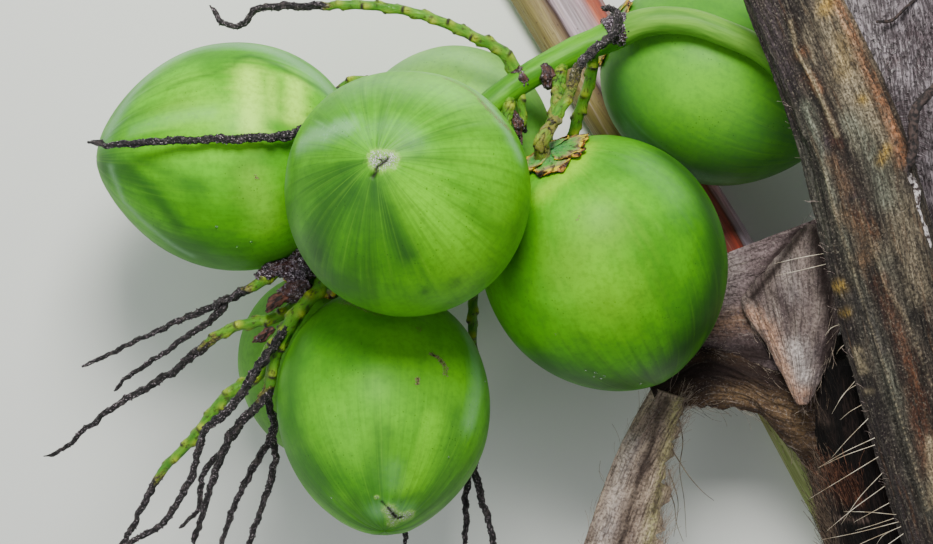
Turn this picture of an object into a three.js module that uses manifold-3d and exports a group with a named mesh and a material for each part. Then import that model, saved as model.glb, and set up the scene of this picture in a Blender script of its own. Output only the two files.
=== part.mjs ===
// A cut piece of a coconut palm's crown, lying on its back: a bunch of seven green coconuts
// on its stalk, the drying spikelets between them, and the leaf stalks and torn fibrous
// sheath that the bunch grew out of. Millimetres, +Z up, resting on the plane z = 0.

import * as THREE from 'three';
import Module from 'manifold-3d';
import { mergeVertices } from 'three/addons/utils/BufferGeometryUtils.js';

const wasm = await Module();
wasm.setup();

// Clearance between pieces that touch
const GAP = 0.3;

// The layout below is drawn round the middle of the bunch, and LAYOUT_CENTRE is the middle
// of the whole piece in it, which goes to the origin
const LAYOUT_CENTRE = [111.4, 0.4];

// Nuts: facets round and along, how much narrower the tip half is, how far the tip is drawn
// out, and the height of the three soft ridges that meet at the tip
const NUT_SIDES = 20;
const NUT_RINGS = 14;
const NUT_TAPER = 0.07;
const TIP_DRAW = 0.07;
const RIDGE = 0.025;

// Each nut's middle, the way from its stem end to its tip, its length and width, and the
// turn of its ridges. A nut with no height given rests on the ground.
const NUTS = {
  front: { at: [-49, 65, 338], tip: [-0.185, 0.2, 0.96], length: 208, width: 198, turn: 0.4 },
  left: { at: [-205, 99, 200], tip: [-1, -0.01, -0.02], length: 226, width: 196, turn: 1.2 },
  lower: { at: [-71, -119, 225], tip: [0.03, -0.86, 0.5], length: 220, width: 181, turn: 0.2 },
  right: { at: [120, 4, 214], tip: [0.42, -0.84, -0.34], length: 228, width: 207, turn: 2.1 },
  upper: { at: [224, 168, 124], tip: [0.885, -0.455, -0.1], length: 214, width: 180, turn: 0.9 },
  behind: { at: [-10, 114], tip: [0.2, 0.1, -0.97], length: 196, width: 180, turn: 1.7 },
  low: { at: [-142, -86], tip: [-0.12, -0.94, -0.32], length: 172, width: 136, turn: 0.6 },
};

// Calyx: the cap of scales on a nut's stem end, cut from the nut's own form
const CALYX_THICKNESS = 5;
const CALYX_RADIUS = 33;
const CALYX_LOBES = 6;
const CALYX_LOBE_DEPTH = 3;
const CALYX_SIDES = 18;

// The smooth main stalk, from the leaf base round to its node, and the axis beyond it
const STALK = {
  points: [
    [379, -50, 140], [366, -24, 168], [343, 32, 196], [319, 96, 215], [290, 149, 222],
    [253, 187, 225], [217, 204, 225], [190, 213, 221], [156, 214, 212], [132, 207, 201],
  ],
  radii: [14, 12.5, 11.5, 11, 11, 11, 11, 11, 11.5, 13.5],
  sides: 10,
  steps: 26,
};
const AXIS = {
  points: [
    [130, 206, 200], [98, 192, 201], [67, 176, 205], [33, 154, 211],
    [-12, 113, 217], [-52, 75, 218], [-95, 37, 217], [-140, -1, 214],
  ],
  radii: [13.5, 12, 11.5, 11.5, 10.5, 10, 9.5, 11, 10],
  sides: 10,
  steps: 22,
};

// Short stems between the axis and each nut's calyx
const FRUIT_STEMS = {
  front: { points: [[34, 156, 211], [35, 136, 221], [13, 91, 229], [-16, 57, 230], [-29, 45, 243]] },
  left: { points: [[-55, 73, 218], [-76, 85, 214], [-96, 94, 200]] },
  lower: { points: [[-98, 34, 215], [-86, 9, 198], [-76, -29, 162]] },
  right: { points: [[82, 182, 203], [78, 154, 228], [73, 127, 252], [63, 109, 268], [64, 93, 252]] },
  upper: { points: [[130, 208, 198], [128, 215, 168], [134, 216, 136]] },
  behind: { points: [[-22, 101, 216], [-26, 103, 204], [-29, 105, 188]] },
  low: { points: [[-124, 12, 212], [-128, 2, 165], [-135, -6, 115], [-134, -22, 92]] },
};
const FRUIT_STEM_RADII = [7, 6.2, 6, 6.2, 7.5];

// Spikelets: the fruitless, drying twigs of the bunch, each with the limb that carries it
const TWIGS = {
  sweep_1: {
    on: 'bunch_axis',
    points: [[-135, 3, 218], [-159, 1, 222], [-184, -14, 226], [-269, -53, 226], [-328, -81, 222]],
    radii: [7, 6, 4.5, 3.5, 3, 2.6, 2],
  },
  sweep_2: {
    on: 'twig_sweep_1',
    points: [[-203, -22, 226], [-212, -35, 225], [-260, -70, 220], [-281, -84, 217], [-302, -101, 213]],
    radii: [4.5, 3.6, 3, 2.6, 2],
  },
  sweep_3: {
    on: 'bunch_axis',
    points: [
      [-134, -3, 212], [-154, -34, 211], [-205, -50, 214], [-248, -83, 213],
      [-308, -120, 210], [-354, -157, 204], [-363, -158, 203],
    ],
    radii: [7, 6, 5.2, 4.4, 3.6, 3, 2],
  },
  long_1: {
    on: 'bunch_axis',
    points: [
      [-127, 7, 210], [-143, -31, 203], [-169, -67, 201], [-181, -90, 204], [-204, -105, 208],
      [-234, -142, 206], [-263, -173, 201], [-285, -213, 192], [-304, -246, 184],
    ],
    radii: [8, 7.5, 7, 6.5, 6, 5.2, 4.2, 3.5, 3],
  },
  long_2: {
    on: 'twig_long_3',
    points: [
      [-150, -44, 232], [-174, -78, 240], [-202, -118, 237], [-221, -134, 232], [-235, -176, 224],
      [-263, -218, 212], [-279, -227, 208], [-294, -237, 205],
    ],
    radii: [4.5, 5, 4.5, 4, 4, 3.5, 3],
  },
  long_3: {
    on: 'bunch_axis',
    points: [
      [-118, 15, 220], [-124, -12, 230], [-145, -36, 232], [-162, -68, 226], [-171, -105, 221],
      [-200, -137, 218], [-217, -177, 213], [-229, -216, 206], [-236, -238, 202],
    ],
    radii: [8, 7, 7, 6.5, 5.5, 4.5, 4, 3.5, 3],
  },
  long_4: {
    on: 'twig_long_3',
    points: [[-193, -130, 217], [-209, -152, 206], [-227, -174, 201], [-231, -203, 200], [-248, -221, 199]],
    radii: [4.5, 4, 3.5, 3, 2],
  },
  inner_1: {
    on: 'bunch_axis',
    points: [
      [-113, 19, 210], [-138, -28, 200], [-165, -74, 184], [-173, -108, 174], [-168, -135, 168],
      [-196, -188, 163], [-208, -216, 159], [-217, -245, 156],
    ],
    radii: [6, 5, 5, 4.5, 4, 3.5, 3],
  },
  inner_2: {
    on: 'twig_inner_1',
    points: [[-170, -136, 167], [-168, -168, 168], [-183, -216, 165], [-192, -244, 163]],
    radii: [4, 4, 3.5, 3],
  },
  right_1: {
    on: 'bunch_axis',
    points: [
      [-14, 109, 214], [10, 65, 194], [8, 19, 184], [6, -22, 182], [5, -55, 171],
      [7, -99, 160], [8, -147, 156], [-1, -198, 158], [0, -216, 157], [-3, -246, 155],
    ],
    radii: [7, 6, 5.5, 5, 5, 4.5, 4, 3.5, 3],
  },
  right_2: {
    on: 'twig_right_1',
    points: [[7, -158, 157], [9, -184, 163], [21, -226, 166], [25, -249, 164]],
    radii: [4, 4, 3.5, 3],
  },
  lower: {
    on: 'bunch_axis',
    points: [[-81, 50, 212], [-57, -22, 143], [-44, -115, 114], [-51, -186, 121], [-55, -246, 140]],
    radii: [6, 5, 4.5, 4, 3],
  },
  top: {
    on: 'bunch_axis',
    points: [
      [45, 166, 208], [33, 186, 213], [3, 202, 222], [-37, 218, 228], [-82, 226, 230],
      [-140, 225, 230], [-176, 223, 230], [-192, 209, 228], [-207, 212, 226], [-218, 228, 222],
    ],
    radii: [8, 6, 5.5, 5, 5, 4.5, 4, 3.5, 3],
  },
  across: {
    on: 'bunch_axis',
    points: [
      [-35, 89, 216], [-79, 132, 250], [-113, 133, 281], [-143, 113, 298],
      [-181, 109, 307], [-245, 107, 302], [-294, 105, 288], [-314, 107, 282],
    ],
    radii: [6, 5, 5, 4.5, 4.5, 4, 4, 3],
  },
  stub: {
    on: 'bunch_axis',
    points: [[-12, 113, 217], [-61, 151, 190], [-96, 168, 170], [-116, 158, 160]],
    radii: [6, 5, 5, 4],
  },
  node_right: {
    on: 'fruit_stem_right',
    points: [
      [74, 129, 251], [88, 153, 244], [94, 173, 236], [112, 191, 227], [127, 207, 221],
      [128, 223, 214], [115, 227, 209],
    ],
    radii: [6, 5.5, 5, 5.5, 4.5, 3],
  },
  node_behind: {
    on: 'bunch_axis',
    points: [[107, 195, 199], [109, 178, 192], [103, 153, 187], [94, 125, 176], [92, 97, 150]],
    radii: [7, 6, 6, 5.5, 4],
  },
  collar: {
    on: 'bunch_axis',
    points: [[45, 168, 206], [47, 146, 211], [50, 118, 208]],
    radii: [5.5, 4.5, 3],
  },
};
const TWIG_SIDES = 6;
// Length of one straight facet along a twig
const TWIG_STEP = 17;

// Cross-sections of the leaf stalks, clockwise from the top, as parts of half the width and
// half the depth
const DRY_STALK_SECTION = [
  [0, 1], [0.42, 0.86], [0.7, 0.9], [1, 0.3], [0.92, -0.5],
  [0.4, -0.95], [-0.25, -1], [-0.8, -0.7], [-1, -0.1], [-0.84, 0.62], [-0.42, 0.86],
];
const REAR_STALK_SECTION = [
  [0, 0.55], [0.3, 1], [0.85, 0.9], [1, 0.1], [0.8, -0.8],
  [0.45, -1], [-0.45, -1], [-0.85, -0.75], [-1, 0.1], [-0.75, 0.85], [-0.35, 0.95],
];
const LEAF_BASE_SECTION = [
  [0, 1], [0.5, 0.9], [0.85, 0.55], [1, -0.1], [0.85, -0.75],
  [0.4, -1], [-0.4, -1], [-0.85, -0.75], [-1, -0.1], [-0.85, 0.55], [-0.5, 0.9],
];
const FIBRE_SECTION = [
  [0, 1], [0.55, 0.85], [0.9, 0.4], [1, -0.3], [0.7, -0.9],
  [0, -1], [-0.7, -0.9], [-1, -0.3], [-0.9, 0.4], [-0.55, 0.85],
];

// Leaf stalks and the pad of fibre between them, from their sawn lower ends upwards
const FRONT_STALK = {
  points: [
    [441, -281, 213], [425, -232, 220], [399, -153, 231], [369, -60, 244],
    [346, 20, 255], [318, 114, 269], [268, 224, 285], [253, 261, 290],
  ],
  widths: [102, 104, 101, 99, 93, 88, 79, 72],
  depths: [56, 56, 56, 56, 56, 56, 54, 52],
  section: DRY_STALK_SECTION,
  steps: 16,
};
const LEAF_BASE = {
  points: [[493, -303, 47.8], [483, -250, 60], [455, -65, 114], [422, 63, 154], [389, 232, 200], [381, 270, 208]],
  widths: [190, 186, 172, 156, 144, 140],
  depths: [98, 96, 84, 72, 62, 60],
  section: LEAF_BASE_SECTION,
  steps: 12,
};
const REAR_STALK = {
  points: [[409, -308, 18.5], [318, -140, 18.5], [233, 18, 18.5], [148, 150, 18.5], [54, 307, 18.5]],
  widths: [74, 74, 74, 74, 76],
  depths: [37, 37, 37, 37, 37],
  section: REAR_STALK_SECTION,
  steps: 10,
};
const FIBRE_PAD = {
  points: [[392, -300, 110], [370, -232, 116], [347, -150, 124], [328, -70, 136]],
  widths: [104, 98, 86, 66],
  depths: [164, 168, 170, 150],
  section: FIBRE_SECTION,
  steps: 8,
};

// Torn sheets of the sheath: their two edges, each from its lower end upwards
const SHEATH = {
  flap: {
    left: [[288, -115, 174], [261, -63, 168], [241, -26, 158], [263, 3, 164], [292, 34, 172]],
    right: [[301, -112, 178], [322, -46, 206], [325, 6, 226], [322, 44, 232]],
    thickness: 4.5,
    bow: 7,
    across: 4,
    along: 9,
  },
  back: {
    left: [[186, -72, 130], [184, -40, 128], [198, 4, 132]],
    right: [[312, -74, 168], [318, -10, 178], [314, 50, 182]],
    thickness: 4.5,
    bow: 0,
    across: 8,
    along: 4,
  },
  fold: {
    left: [[160, -97, 140], [199, -66, 134], [237, -72, 146], [272, -86, 157], [316, -90, 160]],
    right: [[167, -120, 142], [197, -122, 138], [258, -128, 134], [287, -156, 124], [320, -194, 114]],
    thickness: 5,
    bow: 9,
    across: 4,
    along: 10,
  },
  strap: {
    left: [[88, -292, 130], [104, -242, 134], [134, -158, 141], [164, -101, 146]],
    right: [[158, -293, 122], [178, -243, 125], [186, -158, 131], [200, -112, 138]],
    thickness: 6,
    bow: 9,
    across: 5,
    along: 7,
  },
};

// Old bare twig that lies along the right side of the front leaf stalk
const BARE_TWIG = {
  points: [
    [399, 164, 262], [388, 152, 274], [371, 134, 282], [368, 99, 283], [362, 82, 285],
    [371, 70, 281], [372, 53, 280], [382, 26, 273], [385, -23, 266],
  ],
  radii: [4, 4, 4.5, 4, 3.5, 3, 3, 3, 2.5],
};

const LOOKS = {
  nut: new THREE.MeshStandardMaterial({ color: 0x7fb24a, roughness: 0.34 }),
  calyx: new THREE.MeshStandardMaterial({ color: 0x8c9a52, roughness: 0.7 }),
  stalk: new THREE.MeshStandardMaterial({ color: 0x86b455, roughness: 0.45 }),
  twig: new THREE.MeshStandardMaterial({ color: 0x4d4a35, roughness: 0.9 }),
  dryStalk: new THREE.MeshStandardMaterial({ color: 0x6b5c52, roughness: 0.9 }),
  rearStalk: new THREE.MeshStandardMaterial({ color: 0x93705f, roughness: 0.7 }),
  sheath: new THREE.MeshStandardMaterial({ color: 0x6c5848, roughness: 0.95 }),
  fibre: new THREE.MeshStandardMaterial({ color: 0x40291d, roughness: 1 }),
};

// Closed geometry with its shared vertices merged, as the boolean cuts need it
function welded(shape) {
  shape.deleteAttribute('normal');
  shape.deleteAttribute('uv');
  return mergeVertices(shape, 1e-4);
}

function solidOf(shape) {
  return new wasm.Manifold(new wasm.Mesh({
    numProp: 3,
    vertProperties: new Float32Array(shape.attributes.position.array),
    triVerts: new Uint32Array(shape.index.array),
  }));
}

function shapeOf(solid) {
  const mesh = solid.getMesh();
  const shape = new THREE.BufferGeometry();
  shape.setAttribute('position', new THREE.BufferAttribute(mesh.vertProperties, 3));
  shape.setIndex(new THREE.BufferAttribute(mesh.triVerts, 1));
  return shape;
}

// Largest part that is left of a solid once its neighbours' grown forms are cut away
function cutClear(solid, neighbours) {
  let rest = solid;
  for (const neighbour of neighbours) {
    rest = rest.subtract(neighbour);
  }
  const parts = rest.decompose();
  return parts.reduce((best, part) => (part.volume() > best.volume() ? part : best));
}

// Value of a list of evenly spaced numbers at a part, 0 to 1, of the way along it
function along(list, part) {
  const place = part * (list.length - 1);
  const low = Math.min(Math.floor(place), list.length - 2);
  return THREE.MathUtils.lerp(list[low], list[low + 1], place - low);
}

function curveThrough(points) {
  return new THREE.CatmullRomCurve3(points.map((p) => new THREE.Vector3(...p)), false, 'centripetal');
}

// Growth of a limb's or a sheet's two ends, which lie at parts 0 and 1 along it
function endGrow(part, grow) {
  if (part < 0.001) {
    return -grow;
  }
  return part > 0.999 ? grow : 0;
}

// Nut: a sphere drawn out along its axis, narrower towards its drawn-out tip, with three ridges
function nutForm(nut, grow = 0) {
  const shape = welded(new THREE.SphereGeometry(1, NUT_SIDES, NUT_RINGS));
  const spots = shape.attributes.position;
  for (let i = 0; i < spots.count; i += 1) {
    const toTip = spots.getY(i);
    const turn = Math.atan2(spots.getZ(i), spots.getX(i));
    const ridge = RIDGE * Math.max(0, toTip + 0.3) * Math.cos(3 * turn + nut.turn);
    const girth = (nut.width / 2 + grow) * (1 - NUT_TAPER * toTip + ridge);
    const drawn = toTip > 0 ? (toTip + TIP_DRAW * toTip ** 9) / (1 + TIP_DRAW) : toTip;
    const reach = (nut.length / 2) * drawn + grow * toTip;
    spots.setXYZ(i, spots.getX(i) * girth, reach, spots.getZ(i) * girth);
  }
  const toTip = new THREE.Vector3(...nut.tip).normalize();
  shape.applyQuaternion(new THREE.Quaternion().setFromUnitVectors(new THREE.Vector3(0, 1, 0), toTip));
  return shape;
}

function nutHeight(nut) {
  const form = nutForm(nut);
  form.computeBoundingBox();
  return nut.at[2] ?? -form.boundingBox.min.z;
}

function nutSolid(nut, grow = 0) {
  return nutForm(nut, grow).translate(nut.at[0], nut.at[1], nutHeight(nut));
}

// Calyx: the outer skin of the grown nut inside a scalloped ring round its stem end
function calyxSolid(nut, grow = 0) {
  const ring = welded(new THREE.CylinderGeometry(1, 1, nut.length / 2, CALYX_SIDES, 1));
  const spots = ring.attributes.position;
  for (let i = 0; i < spots.count; i += 1) {
    const turn = Math.atan2(spots.getZ(i), spots.getX(i));
    const radius = CALYX_RADIUS + grow + CALYX_LOBE_DEPTH * Math.cos(CALYX_LOBES * turn);
    spots.setX(i, spots.getX(i) * radius);
    spots.setZ(i, spots.getZ(i) * radius);
  }
  ring.translate(0, -nut.length / 2, 0);
  const toTip = new THREE.Vector3(...nut.tip).normalize();
  ring.applyQuaternion(new THREE.Quaternion().setFromUnitVectors(new THREE.Vector3(0, 1, 0), toTip));
  ring.translate(nut.at[0], nut.at[1], nutHeight(nut));
  const outside = solidOf(nutSolid(nut, GAP + CALYX_THICKNESS + grow));
  const inside = solidOf(nutSolid(nut, GAP));
  return shapeOf(outside.intersect(solidOf(ring)).subtract(inside));
}

// Round limb: a cylinder bent along a curve through its points
function limb({ points, radii, sides = TWIG_SIDES, steps }, grow = 0) {
  const curve = curveThrough(points);
  const count = steps ?? Math.max(3, Math.round(curve.getLength() / TWIG_STEP));
  const frames = curve.computeFrenetFrames(count, false);
  const shape = welded(new THREE.CylinderGeometry(1, 1, 1, sides, count));
  const spots = shape.attributes.position;
  for (let i = 0; i < spots.count; i += 1) {
    const part = spots.getY(i) + 0.5;
    const step = Math.round(part * count);
    const radius = along(radii, part) + grow;
    const outward = new THREE.Vector3().crossVectors(frames.normals[step], frames.tangents[step]);
    const spot = curve.getPointAt(part);
    spot.addScaledVector(frames.tangents[step], endGrow(part, grow));
    spot.addScaledVector(frames.normals[step], spots.getX(i) * radius);
    spot.addScaledVector(outward, spots.getZ(i) * radius);
    spots.setXYZ(i, spot.x, spot.y, spot.z);
  }
  return shape;
}

// Leaf stalk: a section carried level along a rising curve, with its own width and depth
function stalk({ points, widths, depths, section, steps }, grow = 0) {
  const curve = curveThrough(points);
  const sides = section.length;
  const shape = welded(new THREE.CylinderGeometry(1, 1, 1, sides, steps));
  const spots = shape.attributes.position;
  for (let i = 0; i < spots.count; i += 1) {
    const part = spots.getY(i) + 0.5;
    const turn = Math.atan2(spots.getX(i), spots.getZ(i)) / (2 * Math.PI);
    const corner = section[(Math.round(turn * sides) + sides) % sides];
    const middle = Math.hypot(spots.getX(i), spots.getZ(i)) < 0.5;
    const tangent = curve.getTangentAt(part);
    const across = new THREE.Vector3(tangent.y, -tangent.x, 0).normalize();
    const upward = new THREE.Vector3().crossVectors(across, tangent);
    const spot = curve.getPointAt(part);
    spot.addScaledVector(tangent, endGrow(part, grow));
    if (!middle) {
      spot.addScaledVector(across, corner[0] * (along(widths, part) / 2 + grow));
      spot.addScaledVector(upward, corner[1] * (along(depths, part) / 2 + grow));
    }
    spots.setXYZ(i, spot.x, spot.y, spot.z);
  }
  return shape;
}

// Torn sheet: a thin box stretched between two edges and bowed towards the viewer
function sheet({ left, right, thickness, bow, across, along: rows }, grow = 0) {
  const leftEdge = curveThrough(left);
  const rightEdge = curveThrough(right);
  const shape = welded(new THREE.BoxGeometry(1, 1, 1, across, rows, 1));
  const spots = shape.attributes.position;
  for (let i = 0; i < spots.count; i += 1) {
    const over = spots.getX(i) + 0.5;
    const up = spots.getY(i) + 0.5;
    const start = leftEdge.getPointAt(up);
    const end = rightEdge.getPointAt(up);
    const width = end.clone().sub(start);
    const rise = leftEdge.getTangentAt(up).lerp(rightEdge.getTangentAt(up), over);
    const facing = new THREE.Vector3().crossVectors(width, rise).normalize();
    const spread = over + Math.sign(over - 0.5) * (grow / width.length());
    const spot = start.addScaledVector(width, spread);
    spot.addScaledVector(rise.normalize(), endGrow(up, grow));
    spot.addScaledVector(facing, bow * 4 * over * (1 - over) + spots.getZ(i) * (thickness + 2 * grow));
    spots.setXYZ(i, spot.x, spot.y, spot.z);
  }
  return shape;
}

const palmCut = new THREE.Group();
palmCut.position.set(-LAYOUT_CENTRE[0], -LAYOUT_CENTRE[1], 0);

// Grown form of every piece placed so far, which later pieces are cut clear of
const grownForms = new Map();

// Adds a piece, made by a function of how far it is grown, cut clear of the pieces it meets
function place(name, make, look, meets = []) {
  const cutters = meets.map((other) => grownForms.get(other));
  const solid = cutters.length > 0 ? cutClear(solidOf(make(0)), cutters) : solidOf(make(0));
  const mesh = new THREE.Mesh(shapeOf(solid), look);
  mesh.name = name;
  palmCut.add(mesh);
  grownForms.set(name, solidOf(make(GAP)));
}

for (const [key, nut] of Object.entries(NUTS)) {
  place(`coconut_${key}`, (grow) => nutSolid(nut, grow), LOOKS.nut);
  place(`calyx_${key}`, (grow) => calyxSolid(nut, grow), LOOKS.calyx);
}

place('leaf_base_right', (grow) => stalk(LEAF_BASE, grow), LOOKS.dryStalk);
place('leaf_stalk_rear', (grow) => stalk(REAR_STALK, grow), LOOKS.rearStalk, ['leaf_base_right']);
place('leaf_stalk_front', (grow) => stalk(FRONT_STALK, grow), LOOKS.dryStalk, ['leaf_base_right']);
place('bunch_stalk', (grow) => limb(STALK, grow), LOOKS.stalk, ['leaf_base_right', 'leaf_stalk_front']);
place('bunch_axis', (grow) => limb(AXIS, grow), LOOKS.stalk, ['bunch_stalk']);

for (const [key, stem] of Object.entries(FRUIT_STEMS)) {
  const spec = { points: stem.points, radii: FRUIT_STEM_RADII, sides: 8 };
  place(`fruit_stem_${key}`, (grow) => limb(spec, grow), LOOKS.stalk, [
    'bunch_stalk', 'bunch_axis', `coconut_${key}`, `calyx_${key}`,
  ]);
}

// A twig that grows on another twig is placed after it
const onTwig = ([, twig]) => Number(twig.on.startsWith('twig'));
const twigOrder = Object.entries(TWIGS).sort((a, b) => onTwig(a) - onTwig(b));
const twigMeets = ['bunch_axis', ...Object.keys(FRUIT_STEMS).map((key) => `fruit_stem_${key}`)];
for (const [key, twig] of twigOrder) {
  const name = `twig_${key}`;
  place(name, (grow) => limb(twig, grow), LOOKS.twig, [...twigMeets]);
  twigMeets.push(name);
}

place('fibre_pad', (grow) => stalk(FIBRE_PAD, grow), LOOKS.fibre, [
  'leaf_base_right', 'leaf_stalk_rear', 'leaf_stalk_front', 'bunch_stalk',
]);
const sheathMeets = ['leaf_base_right', 'leaf_stalk_rear', 'leaf_stalk_front', 'bunch_stalk', 'fibre_pad'];
for (const key of ['back', 'flap', 'fold', 'strap']) {
  const name = `sheath_${key}`;
  place(name, (grow) => sheet(SHEATH[key], grow), LOOKS.sheath, [...sheathMeets]);
  sheathMeets.push(name);
}
place('bare_twig', (grow) => limb(BARE_TWIG, grow), LOOKS.twig, ['leaf_stalk_front', 'leaf_base_right']);

export default palmCut;
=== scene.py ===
import math
from functools import partial

import bpy
import numpy as np
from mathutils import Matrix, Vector, noise


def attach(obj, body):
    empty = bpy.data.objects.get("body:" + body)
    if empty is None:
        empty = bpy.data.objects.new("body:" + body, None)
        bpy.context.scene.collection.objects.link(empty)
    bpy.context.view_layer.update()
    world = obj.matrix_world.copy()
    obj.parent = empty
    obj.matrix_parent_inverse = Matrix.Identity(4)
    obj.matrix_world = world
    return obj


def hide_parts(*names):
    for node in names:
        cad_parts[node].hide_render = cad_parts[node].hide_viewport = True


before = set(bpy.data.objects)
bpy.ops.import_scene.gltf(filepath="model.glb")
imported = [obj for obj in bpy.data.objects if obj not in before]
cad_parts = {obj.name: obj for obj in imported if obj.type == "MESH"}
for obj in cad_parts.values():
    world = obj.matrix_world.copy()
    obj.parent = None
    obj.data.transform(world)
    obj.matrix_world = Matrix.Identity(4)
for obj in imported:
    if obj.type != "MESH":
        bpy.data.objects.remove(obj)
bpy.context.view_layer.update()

# Rear leaf stalk: the smooth stalk of a living leaf behind the bunch, dense fibre under a waxy
# skin that runs from olive to brick red. It is sawn off at both ends and lies on the ground.

# Places are drawn in millimetres round the middle of the bunch. LAYOUT_CENTRE is the middle of
# the whole piece, which comes to lie over the origin.
MM = 0.001
LAYOUT_CENTRE = np.array((111.4, 0.4, 0.0))
PLACES_A_SPAN = 24
WAVE_FADE = 0.9
WAVE_STEP = 2.1

REAR_STALK = {
    "points": [(409, -308, 18.5), (318, -140, 18.5), (233, 18, 18.5), (148, 150, 18.5), (54, 307, 18.5)],
    "widths": [74, 74, 74, 74, 76],
    "depths": [37, 37],
    "section": [
        (0, 0.55), (0.3, 1), (0.85, 0.9), (1, 0.1), (0.8, -0.8),
        (0.45, -1), (-0.45, -1), (-0.85, -0.75), (-1, 0.1), (-0.75, 0.85), (-0.35, 0.95),
    ],
}


def trace(points, step):
    """Evenly spaced places on a smooth line through the points, their directions and distances."""
    knots = np.array(points, float)
    knots = np.vstack([2 * knots[0] - knots[1], knots, 2 * knots[-1] - knots[-2]])
    times = np.concatenate([[0], np.cumsum(np.linalg.norm(np.diff(knots, axis=0), axis=1) ** 0.5)])
    dense = []
    for i in range(1, len(knots) - 2):
        time = np.linspace(times[i], times[i + 1], PLACES_A_SPAN)[:, None]

        def between(first, second, start, end):
            return (first * (end - time) + second * (time - start)) / (end - start)

        t0, t1, t2, t3 = times[i - 1:i + 3]
        early = between(knots[i - 1], knots[i], t0, t1)
        middle = between(knots[i], knots[i + 1], t1, t2)
        late = between(knots[i + 1], knots[i + 2], t2, t3)
        dense.append(between(between(early, middle, t0, t2), between(middle, late, t1, t3), t1, t2))
    dense = np.vstack(dense)
    reach = np.concatenate([[0], np.cumsum(np.linalg.norm(np.diff(dense, axis=0), axis=1))])
    distance = np.linspace(0, reach[-1], max(4, round(reach[-1] / step)))
    line = np.stack([np.interp(distance, reach, dense[:, k]) for k in range(3)], axis=1)
    return line, unit(np.gradient(line, axis=0)), distance


def unit(vectors):
    """The vectors, each made one long."""
    return vectors / np.maximum(np.linalg.norm(vectors, axis=-1, keepdims=True), 1e-9)


def spread(values, count):
    """A list of evenly spaced values, filled in to a count of them."""
    return np.interp(np.linspace(0, 1, count), np.linspace(0, 1, len(values)), values)


def rounded(corners, columns, passes):
    """Evenly spaced points round an outline, with its corners softened."""
    loop = np.array([*corners, corners[0]], float)
    reach = np.concatenate([[0], np.cumsum(np.linalg.norm(np.diff(loop, axis=0), axis=1))])
    place = np.linspace(0, reach[-1], columns, endpoint=False)
    outline = np.stack([np.interp(place, reach, loop[:, k]) for k in (0, 1)], axis=1)
    for _ in range(passes):
        outline = (np.roll(outline, 1, 0) + 2 * outline + np.roll(outline, -1, 0)) / 4
    return outline


def ripple(grain, across, along, octaves=2):
    """Uneven heights, about -1 to 1, of a size across the grain and a size along it, in mm."""
    places = grain.reshape(-1, 3) / (across, across, along)
    heights = [noise.fractal(place, WAVE_FADE, WAVE_STEP, octaves) for place in places.tolist()]
    return np.array(heights).reshape(grain.shape[:-1])


def push(rings, heights):
    """Moves each point of a stack of rings out along the surface."""
    along = np.gradient(rings, axis=0)
    around = np.roll(rings, -1, 1) - np.roll(rings, 1, 1)
    out = unit(np.cross(around, along))
    outward = np.sign(((rings - rings.mean(1, keepdims=True)) * out).sum())
    return rings + out * outward * heights[..., None]


def off_ground(rings, least):
    """Keeps a stack of rings at least a little over the ground."""
    return np.concatenate([rings[..., :2], np.maximum(rings[..., 2:], least)], axis=-1)


def stalk(spec, columns, step, passes=3):
    """Rings of a leaf stalk, whose section lies level along its line, and their grain."""
    line, ways, distance = trace(spec["points"], step)
    count = len(line)
    across = unit(np.stack([ways[:, 1], -ways[:, 0], np.zeros(count)], axis=1))
    upward = np.cross(across, ways)
    outline = rounded(spec["section"], columns, passes)
    over = outline[:, 0] * spread(spec["widths"], count)[:, None] / 2
    rise = outline[:, 1] * spread(spec["depths"], count)[:, None] / 2
    rings = line[:, None] + over[..., None] * across[:, None] + rise[..., None] * upward[:, None]
    grain = np.stack([over, rise, np.broadcast_to(distance[:, None], over.shape)], axis=-1)
    return rings, grain, np.broadcast_to(ways[:, None], rings.shape)


def skin(name, rings, **traits):
    """A closed skin over a stack of rings, with a value of each trait at each of its points."""
    rows, columns = rings.shape[:2]

    def with_ends(values):
        ends = values[[0, -1]].mean(1).reshape(2, -1)
        return np.concatenate([values.reshape(rows * columns, -1), ends])

    places = (with_ends(rings) - LAYOUT_CENTRE) * MM
    here = np.arange(columns)
    beside = np.roll(here, -1)
    starts = columns * np.arange(rows - 1)[:, None]
    corners = [starts + here, starts + beside, starts + columns + beside, starts + columns + here]
    quads = np.stack(corners, axis=-1).reshape(-1, 4)
    first = rows * columns
    last_ring = first - columns
    fans = np.concatenate([
        np.stack([np.full(columns, first), beside, here], axis=-1),
        np.stack([np.full(columns, first + 1), last_ring + here, last_ring + beside], axis=-1),
    ])
    a, b, c, d = places[quads.T]
    volume = (a * (np.cross(b, c) + np.cross(c, d))).sum()
    faces = quads.tolist() + fans.tolist()
    if volume < 0:
        faces = [face[::-1] for face in faces]
    mesh = bpy.data.meshes.new(name)
    mesh.from_pydata(places.tolist(), [], faces)
    mesh.polygons.foreach_set("use_smooth", [True] * len(faces))
    for trait, values in traits.items():
        kind, field = ("FLOAT_VECTOR", "vector") if values.ndim == 3 else ("FLOAT", "value")
        attribute = mesh.attributes.new(trait, kind, "POINT")
        attribute.data.foreach_set(field, with_ends(values).astype(np.float32).ravel())
    piece = bpy.data.objects.new(name, mesh)
    bpy.context.scene.collection.objects.link(piece)
    return piece


def settle(piece, material, slot, *nodes):
    """Gives a piece its material and its place on the body, and hides what it stands for. The slot is not
    used.
    """
    if material is not None:
        piece.data.materials.clear()
        piece.data.materials.append(material)
    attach(piece, "root")
    if nodes:
        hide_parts(*nodes)


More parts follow.
